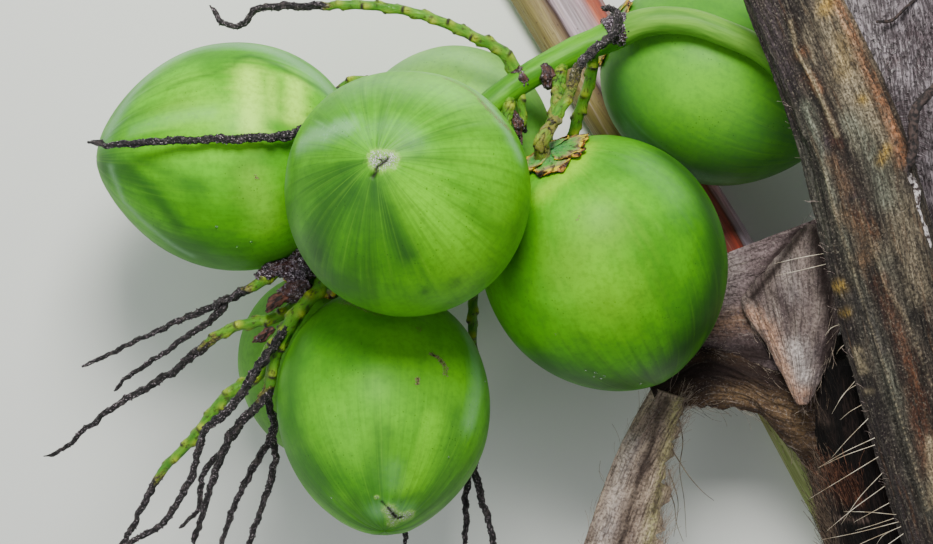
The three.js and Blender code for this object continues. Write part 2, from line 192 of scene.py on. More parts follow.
def screen(code):
    """Linear colour of a screen colour, given as six hexadecimal digits."""
    parts = [int(code[i:i + 2], 16) / 255 for i in (0, 2, 4)]
    return (*[p / 12.92 if p <= 0.04045 else ((p + 0.055) / 1.055) ** 2.4 for p in parts], 1)


def feed(tree, node, inputs):
    """Sets or links the inputs of a node, by name or number."""
    for key, value in inputs.items():
        if isinstance(value, bpy.types.NodeSocket):
            tree.links.new(value, node.inputs[key])
        else:
            node.inputs[key].default_value = value


def add(tree, kind, inputs=None, **settings):
    """Adds a node with its settings and its inputs."""
    made = tree.nodes.new(kind)
    for key, value in settings.items():
        setattr(made, key, value)
    feed(tree, made, inputs or {})
    return made


def maths(tree, operation, first, second, third=0.5):
    """Works out one number from two, or from three."""
    return add(tree, "ShaderNodeMath", {0: first, 1: second, 2: third}, operation=operation).outputs[0]


def vectors(tree, operation, inputs, output=0):
    """Works out one vector, or a number, from two vectors."""
    return add(tree, "ShaderNodeVectorMath", inputs, operation=operation).outputs[output]


def progress(tree, value, start, end, **settings):
    """How far a value has come from a start to an end, 0 to 1."""
    inputs = {"Value": value, "From Min": start, "From Max": end}
    return add(tree, "ShaderNodeMapRange", inputs, **settings).outputs[0]


def blend(tree, mask, below, above):
    """Lays one colour over another by a mask."""
    return add(tree, "ShaderNodeMix", {0: mask, 6: below, 7: above}, data_type="RGBA").outputs[2]


def lay(tree, shade, mask, strength, code):
    """Lays a screen colour over a shade, by a mask and a strength."""
    return blend(tree, maths(tree, "MULTIPLY", mask, strength), shade, screen(code))


def effect(name, **values):
    """A group that is to work out a mask from a place and these values, and its two ends."""
    tree = bpy.data.node_groups.new(name, "ShaderNodeTree")
    for label, value in {"vector": (0, 0, 0), **values}.items():
        kind = "NodeSocketVector" if isinstance(value, tuple) else "NodeSocketFloat"
        socket = tree.interface.new_socket(name=label.capitalize(), in_out="INPUT", socket_type=kind)
        socket.default_value = value
    tree.interface.new_socket(name="Mask", in_out="OUTPUT", socket_type="NodeSocketFloat")
    return tree, tree.nodes.new("NodeGroupInput"), tree.nodes.new("NodeGroupOutput")


def stretched_noise():
    """Mask of streaks: noise of one scale across the grain and another along it."""
    tree, start, end = effect("streaks", across=100, along=5, detail=3, low=0.4, high=0.6)
    across, along = start.outputs["Across"], start.outputs["Along"]
    scale = add(tree, "ShaderNodeCombineXYZ", {0: across, 1: across, 2: along})
    places = vectors(tree, "MULTIPLY", {0: start.outputs["Vector"], 1: scale.outputs[0]})
    uneven = add(tree, "ShaderNodeTexNoise", {
        "Vector": places, "Scale": 1, "Detail": start.outputs["Detail"], "Roughness": 0.6,
    })
    low, high = start.outputs["Low"], start.outputs["High"]
    shown = progress(tree, uneven.outputs["Fac"], low, high, interpolation_type="SMOOTHSTEP")
    tree.links.new(shown, end.inputs["Mask"])
    return tree


def dots():
    """Mask of small scattered dots, of which only a share shows."""
    tree, start, end = effect("speckles", scale=300, size=0.3, share=0.3)
    cells = add(tree, "ShaderNodeTexVoronoi", {
        "Vector": start.outputs["Vector"], "Scale": start.outputs["Scale"],
    })
    size = start.outputs["Size"]
    inner = maths(tree, "MULTIPLY", size, 0.4)
    near = progress(tree, cells.outputs["Distance"], size, inner, interpolation_type="SMOOTHSTEP")
    chosen = add(tree, "ShaderNodeSeparateColor", {0: cells.outputs["Color"]})
    shows = maths(tree, "LESS_THAN", chosen.outputs[0], start.outputs["Share"])
    tree.links.new(maths(tree, "MULTIPLY", near, shows), end.inputs["Mask"])
    return tree


EFFECTS = {"streaks": stretched_noise(), "speckles": dots()}


def mask(tree, name, vector, **values):
    """One of the shared effects, placed in a material with values of its own."""
    made = add(tree, "ShaderNodeGroup", node_tree=EFFECTS[name])
    tree.links.new(vector, made.inputs["Vector"])
    for label, value in values.items():
        made.inputs[label.capitalize()].default_value = value
    return made.outputs["Mask"]


def new_material(name):
    """A material's tree, its shader, and the surface's grain and place as sockets."""
    material = bpy.data.materials.new(name)
    material.use_nodes = True
    tree = material.node_tree
    shader = tree.nodes["Principled BSDF"]
    grain = add(tree, "ShaderNodeAttribute", attribute_name="grain").outputs["Vector"]
    place = tree.nodes.new("ShaderNodeTexCoord").outputs["Object"]
    return material, tree, shader, grain, place


def carried(tree, names):
    """The values of these names that a mesh carries at each of its points."""
    return {name: add(tree, "ShaderNodeAttribute", attribute_name=name).outputs["Fac"] for name in names}


def ramp(tree, value, stops):
    """Colour that follows a value through a list of places and screen colours."""
    made = add(tree, "ShaderNodeValToRGB", {0: value})
    marks = made.color_ramp.elements
    while len(marks) < len(stops):
        marks.new(0.5)
    for mark, (at, code) in zip(marks, stops):
        mark.position = at
    for mark, (at, code) in zip(marks, stops):
        mark.color = screen(code)
    return made.outputs[0]


def bump(tree, shader, height, strength, distance):
    """Roughens a surface by a height."""
    made = add(tree, "ShaderNodeBump", {"Strength": strength, "Distance": distance, "Height": height})
    feed(tree, shader, {"Normal": made.outputs[0]})


def rear_stalk_skin():
    """Olive on the left face, a dark band of painted crevice shade, lilac and red on the right, greener
    lower down.
    """
    material, tree, shader, grain, place = new_material("rear_stalk_skin")
    parts = add(tree, "ShaderNodeSeparateXYZ", {0: grain})
    wander = mask(tree, "streaks", grain, across=60, along=6, low=0.3, high=0.7)
    over = maths(tree, "MULTIPLY_ADD", parts.outputs[0], 12.5, 0.46)
    over = maths(tree, "MULTIPLY_ADD", wander, 0.07, over)
    # The near black stop at 0.4 here and the dark one at 0.79 below are painted shade in a crevice.
    upper = ramp(tree, over, [
        (0.02, "7d7240"), (0.26, "8e7c45"), (0.35, "77603c"), (0.4, "2c1d1b"), (0.45, "b8a4ac"),
        (0.56, "d0bcc8"), (0.68, "b496a0"), (0.77, "b4502c"), (0.9, "a23f22"), (0.98, "8f7682"),
    ])
    middle = ramp(tree, over, [
        (0.1, "8b5a34"), (0.4, "94583e"), (0.52, "b05244"), (0.64, "b84a38"), (0.74, "c8482c"),
        (0.79, "5a3028"), (0.83, "b3a4b4"), (0.97, "8f808c"),
    ])
    lower = ramp(tree, over, [(0.05, "87984a"), (0.4, "9dac55"), (0.8, "6d7a35"), (1, "4c5528")])
    shade = blend(tree, progress(tree, parts.outputs[2], 0.36, 0.47), middle, upper)
    shade = blend(tree, progress(tree, parts.outputs[2], 0.27, 0.19), shade, lower)
    fine = mask(tree, "streaks", grain, across=520, along=24, low=0.35, high=0.7)
    shade = lay(tree, shade, fine, 0.45, "4a2f28")
    pale = mask(tree, "streaks", grain, across=260, along=9, low=0.56, high=0.72)
    shade = lay(tree, shade, pale, 0.35, "cdb9a4")
    spots = mask(tree, "speckles", place, scale=260, size=0.35, share=0.12)
    shade = lay(tree, shade, spots, 0.5, "3a241f")
    feed(tree, shader, {"Base Color": shade, "Roughness": maths(tree, "MULTIPLY_ADD", fine, 0.2, 0.42)})
    bump(tree, shader, fine, 0.5, 0.0006)
    return material


rings, grain, ways = stalk(REAR_STALK, columns=110, step=2.4)
rings = push(rings, 0.7 * ripple(grain, 9, 160) + 0.25 * ripple(grain, 2.5, 60))
rings = off_ground(rings, least=0.1)
rear_stalk = skin("rear_leaf_stalk_skin", rings, grain=grain * MM)
settle(rear_stalk, rear_stalk_skin(), "rear_leaf_stalk", "leaf_stalk_rear")

# Right leaf base: the broad foot of an old leaf, on which the weathered stalk lies. It is a
# thick wedge of fibre, grey and matted on top, that its sheath once wrapped.
LEAF_BASE = {
    "points": [
        (493, -303, 47.8), (483, -250, 60), (455, -65, 114),
        (422, 63, 154), (389, 232, 200), (381, 270, 208),
    ],
    "widths": [190, 186, 172, 156, 144, 140],
    "depths": [98, 96, 84, 72, 62, 60],
    "section": [
        (0, 1), (0.5, 0.9), (0.85, 0.55), (1, -0.1), (0.85, -0.75),
        (0.4, -1), (-0.4, -1), (-0.85, -0.75), (-1, -0.1), (-0.85, 0.55), (-0.5, 0.9),
    ],
}


def matted_base():
    """Grey lilac mat of crossing fibres, with dark pits and rusty hollows."""
    material, tree, shader, grain, place = new_material("matted_leaf_base")
    crossing = add(tree, "ShaderNodeAttribute", attribute_name="crossing").outputs["Vector"]
    broad = mask(tree, "streaks", grain, across=40, along=16, detail=4, low=0.38, high=0.62)
    shade = blend(tree, broad, screen("62565a"), screen("b2a7ad"))
    rust = mask(tree, "streaks", grain, across=30, along=13, low=0.58, high=0.7)
    shade = lay(tree, shade, rust, 0.6, "74503f")
    salt = mask(tree, "streaks", crossing, across=600, along=120, detail=4, low=0.52, high=0.62)
    shade = lay(tree, shade, salt, 0.7, "dcd4d6")
    strands = mask(tree, "streaks", grain, across=620, along=110, detail=5, low=0.46, high=0.58)
    shade = lay(tree, shade, strands, 0.7, "2b2224")
    pits = mask(tree, "streaks", place, across=260, along=260, detail=4, low=0.55, high=0.64)
    shade = lay(tree, shade, pits, 0.7, "1e1819")
    feed(tree, shader, {"Base Color": shade, "Roughness": 0.9, "Specular IOR Level": 0.25})
    bump(tree, shader, maths(tree, "SUBTRACT", salt, strands), 0.9, 0.0012)
    return material


def crossed(grain, angle):
    """The grain turned on the surface, for fibres that cross it."""
    over, rise, along = np.moveaxis(grain, -1, 0)
    bent = angle + 0.5 * np.sin(along / 37) + 0.4 * np.sin(over / 23)
    return np.stack([
        over * np.cos(bent) - along * np.sin(bent), rise, over * np.sin(bent) + along * np.cos(bent),
    ], axis=-1)


rings, grain, ways = stalk(LEAF_BASE, columns=190, step=2)
relief = 2.4 * ripple(grain, 16, 120, 3) + 0.9 * ripple(grain, 3.4, 22, 3)
rings = off_ground(push(rings, relief), least=0.4)
everywhere = np.ones(grain.shape[:2])
leaf_base = skin("right_leaf_base_mat", rings, grain=grain * MM, way=ways, cover=everywhere,
                 crossing=crossed(grain, 0.9) * MM)
settle(leaf_base, matted_base(), "dry_leaf_stalk", "leaf_base_right")

# Front leaf stalk: the old, weathered stalk in front of it, hard fibre that has cracked into
# long ridges. Its left edge is a thin lip that frays into hairs. Its stains, its painted shade
# and its ridges lie on paths over its face, each with a width and a strength.
FRONT_STALK = {
    "points": [
        (441, -281, 213), (425, -232, 220), (399, -153, 231), (369, -60, 244),
        (346, 20, 255), (318, 114, 269), (268, 224, 285), (253, 261, 290),
    ],
    "widths": [102, 104, 101, 99, 93, 88, 79, 72],
    "depths": [56, 56, 56, 56, 56, 56, 54, 52],
    "section": [
        (0, 1), (0.42, 0.86), (0.7, 0.9), (1, 0.3), (0.92, -0.5),
        (0.4, -0.95), (-0.25, -1), (-0.8, -0.7), (-1, -0.1), (-0.84, 0.62), (-0.42, 0.86),
    ],
}
CREAM_RIDGE = [(264, 204), (270, 181), (283, 158), (293, 136), (304, 112)]
THIN_RIDGE = [
    (284, 108), (297, 76), (305, 47), (318, 11), (328, -23),
    (340, -56), (352, -90), (370, -144), (387, -200),
]
SECOND_RIDGE = [(321, 59), (334, 24), (347, -13), (366, -41), (387, -94)]
CRUSTED_RIDGE = [(302, 221), (313, 199), (325, 172), (340, 140), (353, 113), (359, 91)]
LEFT_RIM = [
    (265, 139), (276, 103), (290, 52), (302, 11), (313, -31),
    (325, -74), (337, -107), (350, -149), (370, -217),
]
RIDGE_TO_FURROW = (-4.5, -1)
FURROW_WIDTH = 3
LIP_DEPTH = 12
CRACK_WIDTH = 0.14
STALK_STAINS_AND_SHADE = {
    "wash": [
        ([(301, 217), (307, 189), (316, 165), (323, 133), (333, 117)], 16, 1.0),
        ([(362, 51), (369, 18), (375, -15)], 12, 0.5), ([(282, 172), (276, 196)], 6, 0.5),
        ([(387, -140), (390, -191)], 5, 0.9), ([(345, 95), (352, 60), (356, 20)], 8, 0.5),
    ],
    "moss": [
        ([(314, 124), (328, 108), (340, 85), (346, 60)], 10, 0.95),
        ([(279, 136), (286, 112), (293, 90), (299, 66)], 6, 1.0),
        ([(276, 108), (290, 70), (302, 22)], 4, 0.7),
        ([(340, 20), (352, -20), (365, -60)], 8, 0.6), (THIN_RIDGE, 9, 0.5),
    ],
    "lilac": [
        ([(244, 214), (253, 182), (262, 156)], 12, 1.0),
        ([(297, 108), (312, 75), (325, 47)], 7, 0.9),
        ([(320, -15), (334, -40), (345, -65)], 6, 0.6), (LEFT_RIM, 5, 0.6),
        ([(334, -107), (350, -149), (366, -192), (379, -225)], 10, 0.6),
    ],
    # The dark paths are partly painted shade, at the face's left edge where the first begins, and partly
    # real dark brown bands.
    "dark": [
        ([(262, 215), (272, 178), (284, 150), (303, 116), (318, 84), (332, 44)], 6, 0.95),
        ([(283, 98), (292, 66), (303, 26), (314, -14)], 3, 0.8),
        ([(326, 15), (334, -8), (347, -35), (357, -61), (363, -88)], 5, 0.9),
        ([(318, -40), (330, -80), (345, -120), (360, -165), (372, -210)], 9, 0.75),
        ([(366, -130), (380, -175), (392, -215)], 12, 0.5),
    ],
    "tan": [
        ([(315, 48), (327, 35), (336, 19), (327, 9)], 9, 0.9), ([(301, 92), (313, 68)], 7, 0.8),
    ],
    "gold": [
        ([(293, 214), (296, 222)], 6, 1.0), ([(324, 142)], 5, 1.0), ([(345, 101), (341, 91)], 4.5, 1.0),
        ([(311, -12)], 5, 1.0), ([(317, -34)], 3.5, 0.8), ([(307, 189), (309, 165)], 8, 0.4),
    ],
    "orange": [(CRUSTED_RIDGE, 5.5, 0.9), ([(273, 179)], 5, 0.9), ([(279, 161), (288, 149)], 4, 0.8)],
    "rust": [
        ([(322, 48), (335, 31)], 5, 0.7), ([(343, -7), (351, -28), (361, -52), (374, -90)], 7, 0.9),
        ([(374, -90), (380, -132), (388, -165)], 9, 0.8), ([(296, 130), (304, 104)], 5, 0.5),
    ],
    "pale": [
        (CREAM_RIDGE, 1.8, 0.9), (THIN_RIDGE, 1.1, 0.55), (SECOND_RIDGE, 1.1, 0.5),
        ([(327, -65), (332, -83)], 3.2, 0.8), ([(337, -100)], 2.5, 0.8),
        ([(387, -140), (391, -196)], 3, 0.7),
    ],
}


def stroke(places, strokes, ragged=0.0, detail=10, locate=None):
    """How strongly strokes cover each point, drawn as seen from above or where locate says."""
    parts = np.ascontiguousarray(np.moveaxis(places, -1, 0))
    cover = np.zeros(parts[0].shape)
    for path, width, strength in strokes:
        steps = np.linspace(0, len(path) - 1, detail * len(path))
        line = [np.interp(steps, np.arange(len(path)), knots) for knots in np.transpose(path)]
        line = np.stack(line, axis=-1) if locate is None else locate(*line)
        away = np.full(cover.shape, np.inf)
        for place in line:
            away = np.minimum(away, sum((part - at) ** 2 for part, at in zip(parts, place)))
        cover = np.maximum(cover, strength * np.exp(-away * ((1 + ragged) / width) ** 2))
    return cover


def cracked(grain, across, along):
    """Depth, 0 to 1, of the thin cracks that wind between the waves of a ripple."""
    return np.maximum(0, CRACK_WIDTH - np.abs(ripple(grain, across, along))) / CRACK_WIDTH


def weathered_stalk():
    """Grainy grey brown, stained purple, grey green, gold, orange and rust, with painted shade."""
    material, tree, shader, grain, _ = new_material("weathered_leaf_stalk")
    stains_and_shade = carried(tree, (*STALK_STAINS_AND_SHADE, "furrow"))
    broad = mask(tree, "streaks", grain, across=130, along=22, detail=5, low=0.38, high=0.62)
    shade = blend(tree, broad, screen("1c1715"), screen("4c433a"))
    for name, colour, strength in [
        ("wash", "baab8c", 0.9), ("moss", "868a78", 0.85), ("lilac", "453a40", 0.9),
        ("dark", "231a1b", 0.9), ("tan", "80654a", 0.85), ("gold", "c4a048", 0.9),
        ("orange", "b47850", 0.9), ("rust", "6a3c26", 0.85), ("pale", "d2bf98", 0.95),
    ]:
        patchy = mask(tree, "streaks", grain, across=300, along=90, detail=5, low=0.25, high=0.55)
        here = maths(tree, "MULTIPLY", patchy, maths(tree, "MULTIPLY", stains_and_shade[name], strength))
        shade = blend(tree, here, shade, screen(colour))
    warm = mask(tree, "streaks", grain, across=200, along=14, detail=4, low=0.55, high=0.68)
    shade = lay(tree, shade, warm, 0.45, "6a4a30")
    light = mask(tree, "streaks", grain, across=480, along=60, detail=5, low=0.54, high=0.66)
    shade = lay(tree, shade, light, 0.25, "a09782")
    fine = mask(tree, "streaks", grain, across=620, along=50, detail=5, low=0.46, high=0.6)
    shade = lay(tree, shade, fine, 0.42, "1d1816")
    furrows = mask(tree, "streaks", grain, across=240, along=8, detail=4, low=0.58, high=0.68)
    shade = lay(tree, shade, furrows, 0.5, "171311")
    # Painted shade in the furrows beside the ridges and in the cracks.
    shade = lay(tree, shade, stains_and_shade["furrow"], 0.7, "1c1916")
    grit = mask(tree, "streaks", grain, across=620, along=430, detail=3, low=0.47, high=0.6)
    shade = lay(tree, shade, grit, 0.6, "1c1716")
    salt = mask(tree, "streaks", grain, across=600, along=480, detail=3, low=0.54, high=0.74)
    shade = lay(tree, shade, salt, 0.25, "c8bda6")
    feed(tree, shader, {
        "Base Color": shade,
        "Roughness": maths(tree, "MULTIPLY_ADD", fine, 0.2, 0.68),
        "Specular IOR Level": 0.3,
    })
    bump(tree, shader, maths(tree, "SUBTRACT", light, maths(tree, "ADD", fine, grit)), 0.8, 0.0009)
    return material


rings, grain, ways = stalk(FRONT_STALK, columns=220, step=1.5, passes=2)
plain = rings
ragged = 0.3 * ripple(grain, 5, 12, 3)
cracks = cracked(grain, across=9, along=170)
ribs = 1.5 * ripple(grain, 9, 150, 3) + 0.7 * ripple(grain, 2.6, 40, 3)
fray = 0.5 * ripple(grain, 1.6, 4, 3)
raised = [(CREAM_RIDGE, 3.0, 1), (THIN_RIDGE, 1.8, 0.6), (SECOND_RIDGE, 1.8, 0.6)]
ridges = 2.6 * stroke(plain, raised, 0.4 * ragged)
crust = stroke(plain, [(CRUSTED_RIDGE, 6, 1)], ragged) * (1.4 + 1.8 * ripple(grain, 2.2, 2.6, 2))
beside = [
    (np.array(path) + RIDGE_TO_FURROW, FURROW_WIDTH, 1) for path in (THIN_RIDGE, CREAM_RIDGE, SECOND_RIDGE)
]
furrows = 1.6 * stroke(plain, beside, 0.4 * ragged)
face = plain[..., 2] > plain[..., 2].mean(1, keepdims=True)
rings = push(rings, ribs + fray - 1.8 * cracks + face * (ridges + crust - furrows))
stains_and_shade = {name: stroke(plain, strokes, ragged) for name, strokes in STALK_STAINS_AND_SHADE.items()}
# Painted shade in the furrows beside the ridges and in the cracks.
stains_and_shade["furrow"] = np.clip(0.8 * stroke(plain, beside, 0.4 * ragged) + 0.9 * cracks, 0, 1)
lip = stroke(plain, [(LEFT_RIM, 5, 1)]) * (grain[..., 1] < LIP_DEPTH)
front_stalk = skin("front_leaf_stalk_bark", rings, grain=grain * MM, way=ways, cover=lip, **stains_and_shade)
settle(front_stalk, weathered_stalk(), "dry_leaf_stalk", "leaf_stalk_front")

# Fibre pad: the dark, loose mass of old sheath fibre packed between the leaf bases. A lumpy
# core carries thousands of thin strands that run up it, rusty where they bundle.
FIBRE_PAD = {
    "points": [(392, -300, 110), (370, -232, 116), (347, -150, 124), (328, -70, 136)],
    "widths": [100, 94, 82, 62],
    "depths": [156, 160, 162, 142],
    "section": [
        (0, 1), (0.55, 0.85), (0.9, 0.4), (1, -0.3), (0.7, -0.9),
        (0, -1), (-0.7, -0.9), (-1, -0.3), (-0.9, 0.4), (-0.55, 0.85),
    ],
}
RUSTY_BUNDLES = [([(320, -176), (330, -200)], 7, 0.9), ([(331, -178), (339, -198)], 6, 0.9)]
TAN_BUNDLES = [
    ([(311, -172), (317, -204), (325, -241), (340, -290)], 6, 1.0), ([(345, -216), (325, -216)], 2.5, 1.0),
    ([(304, -110), (312, -130)], 4, 0.7),
]
STRAND_SEED = 11
TWIST_SEED = 7
FULL_TURN = 6.3
GROUND_GAP = 0.3


def growth(name, shape, **values):
    """Geometry tree that sets a shape over a surface, as densely as a named value there says."""
    tree = bpy.data.node_groups.new(name, "GeometryNodeTree")
    tree.interface.new_socket(name="Geometry", in_out="OUTPUT", socket_type="NodeSocketGeometry")
    for label, kind, usual in [
        ("Geometry", "Geometry", None), ("Density", "Float", 1000.0), ("Seed", "Int", 1),
        ("Where", "String", "cover"), ("Material", "Material", None),
        *[(label.capitalize(), "Float", value) for label, value in values.items()],
    ]:
        socket = tree.interface.new_socket(name=label, in_out="INPUT", socket_type=f"NodeSocket{kind}")
        if usual is not None:
            socket.default_value = usual
    start = tree.nodes.new("NodeGroupInput")
    end = tree.nodes.new("NodeGroupOutput")
    value = start.outputs
    share = add(tree, "GeometryNodeInputNamedAttribute", {"Name": value["Where"]}, data_type="FLOAT")
    scattered = add(tree, "GeometryNodeDistributePointsOnFaces", {
        "Mesh": value["Geometry"],
        "Density": maths(tree, "MULTIPLY", share.outputs[0], value["Density"]),
        "Seed": value["Seed"],
    })
    placed = add(tree, "GeometryNodeInstanceOnPoints", {
        "Points": scattered.outputs["Points"], **shape(tree, value, scattered.outputs["Normal"]),
    })
    real = add(tree, "GeometryNodeRealizeInstances", {"Geometry": placed.outputs[0]})
    coloured = add(tree, "GeometryNodeSetMaterial", {
        "Geometry": real.outputs[0], "Material": value["Material"],
    })
    tree.links.new(coloured.outputs[0], end.inputs[0])
    return tree


def chance(tree, seed, low, high):
    """A random number, or three of them, between two limits."""
    first, kind = (0, "FLOAT_VECTOR") if isinstance(low, tuple) else (2, "FLOAT")
    made = add(tree, "FunctionNodeRandomValue", {first: low, first + 1: high, "Seed": seed}, data_type=kind)
    return made.outputs[first // 2]


def bent_strand(tree, value, normal):
    """A bent, three-sided strand that leans along the surface's way, unlike its neighbours."""
    way = add(tree, "GeometryNodeInputNamedAttribute", {"Name": "way"}, data_type="FLOAT_VECTOR")
    jitter = chance(tree, value["Seed"], (-1, -1, -1), (1, 1, 1))
    strayed = vectors(tree, "SCALE", {0: jitter, "Scale": value["Spread"]})
    lifted = vectors(tree, "SCALE", {0: normal, "Scale": value["Lift"]})
    leaning = vectors(tree, "ADD", {0: way.outputs[0], 1: strayed})
    heading = vectors(tree, "ADD", {0: leaning, 1: lifted})
    turned = add(tree, "FunctionNodeAlignRotationToVector", {"Vector": heading}, axis="Z")
    twist = add(tree, "ShaderNodeCombineXYZ", {2: chance(tree, TWIST_SEED, 0, FULL_TURN)})
    rolled = add(tree, "FunctionNodeRotateRotation", {
        "Rotation": turned.outputs[0], "Rotate By": twist.outputs[0],
    }, rotation_space="LOCAL")
    half = maths(tree, "MULTIPLY", value["Length"], 0.5)
    sag = maths(tree, "MULTIPLY", value["Length"], value["Bend"])
    middle = add(tree, "ShaderNodeCombineXYZ", {0: sag, 2: half})
    tip = add(tree, "ShaderNodeCombineXYZ", {1: sag, 2: value["Length"]})
    line = add(tree, "GeometryNodeCurveQuadraticBezier", {
        "Resolution": 5, "Start": (0, 0, 0), "Middle": middle.outputs[0], "End": tip.outputs[0],
    })
    ring = add(tree, "GeometryNodeCurvePrimitiveCircle", {"Resolution": 3, "Radius": value["Thickness"]})
    strand = add(tree, "GeometryNodeCurveToMesh", {
        "Curve": line.outputs[0], "Profile Curve": ring.outputs[0], "Fill Caps": True,
    })
    size = chance(tree, value["Seed"], 0.45, 1.25)
    return {"Instance": strand.outputs[0], "Rotation": rolled.outputs[0], "Scale": size}


def grow(name, host, tree, **values):
    """Runs a geometry tree on a host and keeps what grows on it as a plain mesh of its own."""
    modifier = host.modifiers.new(name, "NODES")
    modifier.node_group = tree
    for item in tree.interface.items_tree:
        if item.in_out == "INPUT" and item.name.lower() in values:
            modifier[item.identifier] = values[item.name.lower()]
    graph = bpy.context.evaluated_depsgraph_get()
    mesh = bpy.data.meshes.new_from_object(host.evaluated_get(graph))
    host.modifiers.remove(modifier)
    places = np.empty(3 * len(mesh.vertices))
    mesh.vertices.foreach_get("co", places)
    places[2::3] = np.maximum(places[2::3], GROUND_GAP * MM)
    mesh.vertices.foreach_set("co", places)
    mesh.name = name
    piece = bpy.data.objects.new(name, mesh)
    bpy.context.scene.collection.objects.link(piece)
    return piece


def plain_fibre(name, dark, pale, rough=0.7, scale=60):
    """Fibre that shifts between two colours from strand to strand."""
    material, tree, shader, _, place = new_material(name)
    shift = mask(tree, "streaks", place, across=scale, along=scale, detail=4, low=0.35, high=0.65)
    feed(tree, shader, {
        "Base Color": blend(tree, shift, screen(dark), screen(pale)),
        "Roughness": rough,
        "Specular IOR Level": 0.3,
    })
    return material


def pad_core():
    """Near black core with rusty and tan bundles."""
    material, tree, shader, grain, _ = new_material("fibre_pad_core")
    bundles = carried(tree, ("rusty", "tan"))
    uneven = mask(tree, "streaks", grain, across=40, along=14, low=0.4, high=0.7)
    shade = blend(tree, uneven, screen("090606"), screen("221815"))
    shade = blend(tree, bundles["rusty"], shade, screen("4a2c20"))
    shade = blend(tree, bundles["tan"], shade, screen("6a5850"))
    strands = mask(tree, "streaks", grain, across=700, along=30, detail=4, low=0.44, high=0.58)
    shade = lay(tree, shade, strands, 0.85, "080505")
    feed(tree, shader, {"Base Color": shade, "Roughness": 0.9, "Specular IOR Level": 0.2})
    bump(tree, shader, strands, 1, 0.0015)
    return material


STRANDS = growth("strands", bent_strand, length=0.03, thickness=0.0004, lift=0.2, spread=0.3, bend=0.15)
rings, grain, ways = stalk(FIBRE_PAD, columns=120, step=2.4, passes=4)
plain = rings
rings = push(rings, 3.4 * ripple(grain, 15, 60, 3) + 1.0 * ripple(grain, 4, 30, 2))
rings = off_ground(rings, least=1)
rusty = stroke(plain, RUSTY_BUNDLES, 0.3 * ripple(grain, 9, 30))
tan = stroke(plain, TAN_BUNDLES, 0.3 * ripple(grain, 9, 30))
dark = np.clip(1 - rusty - tan, 0.15, 1)
fibre_pad = skin("fibre_pad_core", rings, grain=grain * MM, way=ways, rusty=rusty, tan=tan, dark=dark)
for index, (where, density, length, deep, pale, scale) in enumerate([
    ("dark", 14000.0, 0.022, "0a0706", "2b2019", 200),
    ("rusty", 90000.0, 0.022, "2c1b14", "815540", 300),
    ("tan", 60000.0, 0.024, "3c302a", "85725f", 300),
]):
    strands = grow(
        f"fibre_pad_{where}_strands", fibre_pad, STRANDS, density=density, length=length,
        thickness=0.00018, lift=0.06, spread=0.3, bend=0.14, seed=STRAND_SEED + index, where=where,
        material=plain_fibre(f"pad_{where}_strands", deep, pale, scale=scale),
    )
    settle(strands, None, "fibre")
settle(fibre_pad, pad_core(), "fibre", "fibre_pad")
base_strands = grow(
    "right_leaf_base_strands", leaf_base, STRANDS, density=13000.0, length=0.02, thickness=0.00016,
    lift=0.04, spread=0.9, bend=0.2, seed=STRAND_SEED + 5, where="cover",
    material=plain_fibre("base_strands", "332729", "b3a8aa", scale=300),
)
settle(base_strands, None, "dry_leaf_stalk")
rim_strands = grow(
    "front_leaf_stalk_fray", front_stalk, STRANDS, density=9000.0, length=0.007, thickness=0.00014,
    lift=0.8, spread=0.7, bend=0.2, seed=STRAND_SEED + 6, where="cover",
    material=plain_fibre("rim_strands", "5b4a4a", "c4b2a6", scale=300),
)
settle(rim_strands, None, "dry_leaf_stalk")
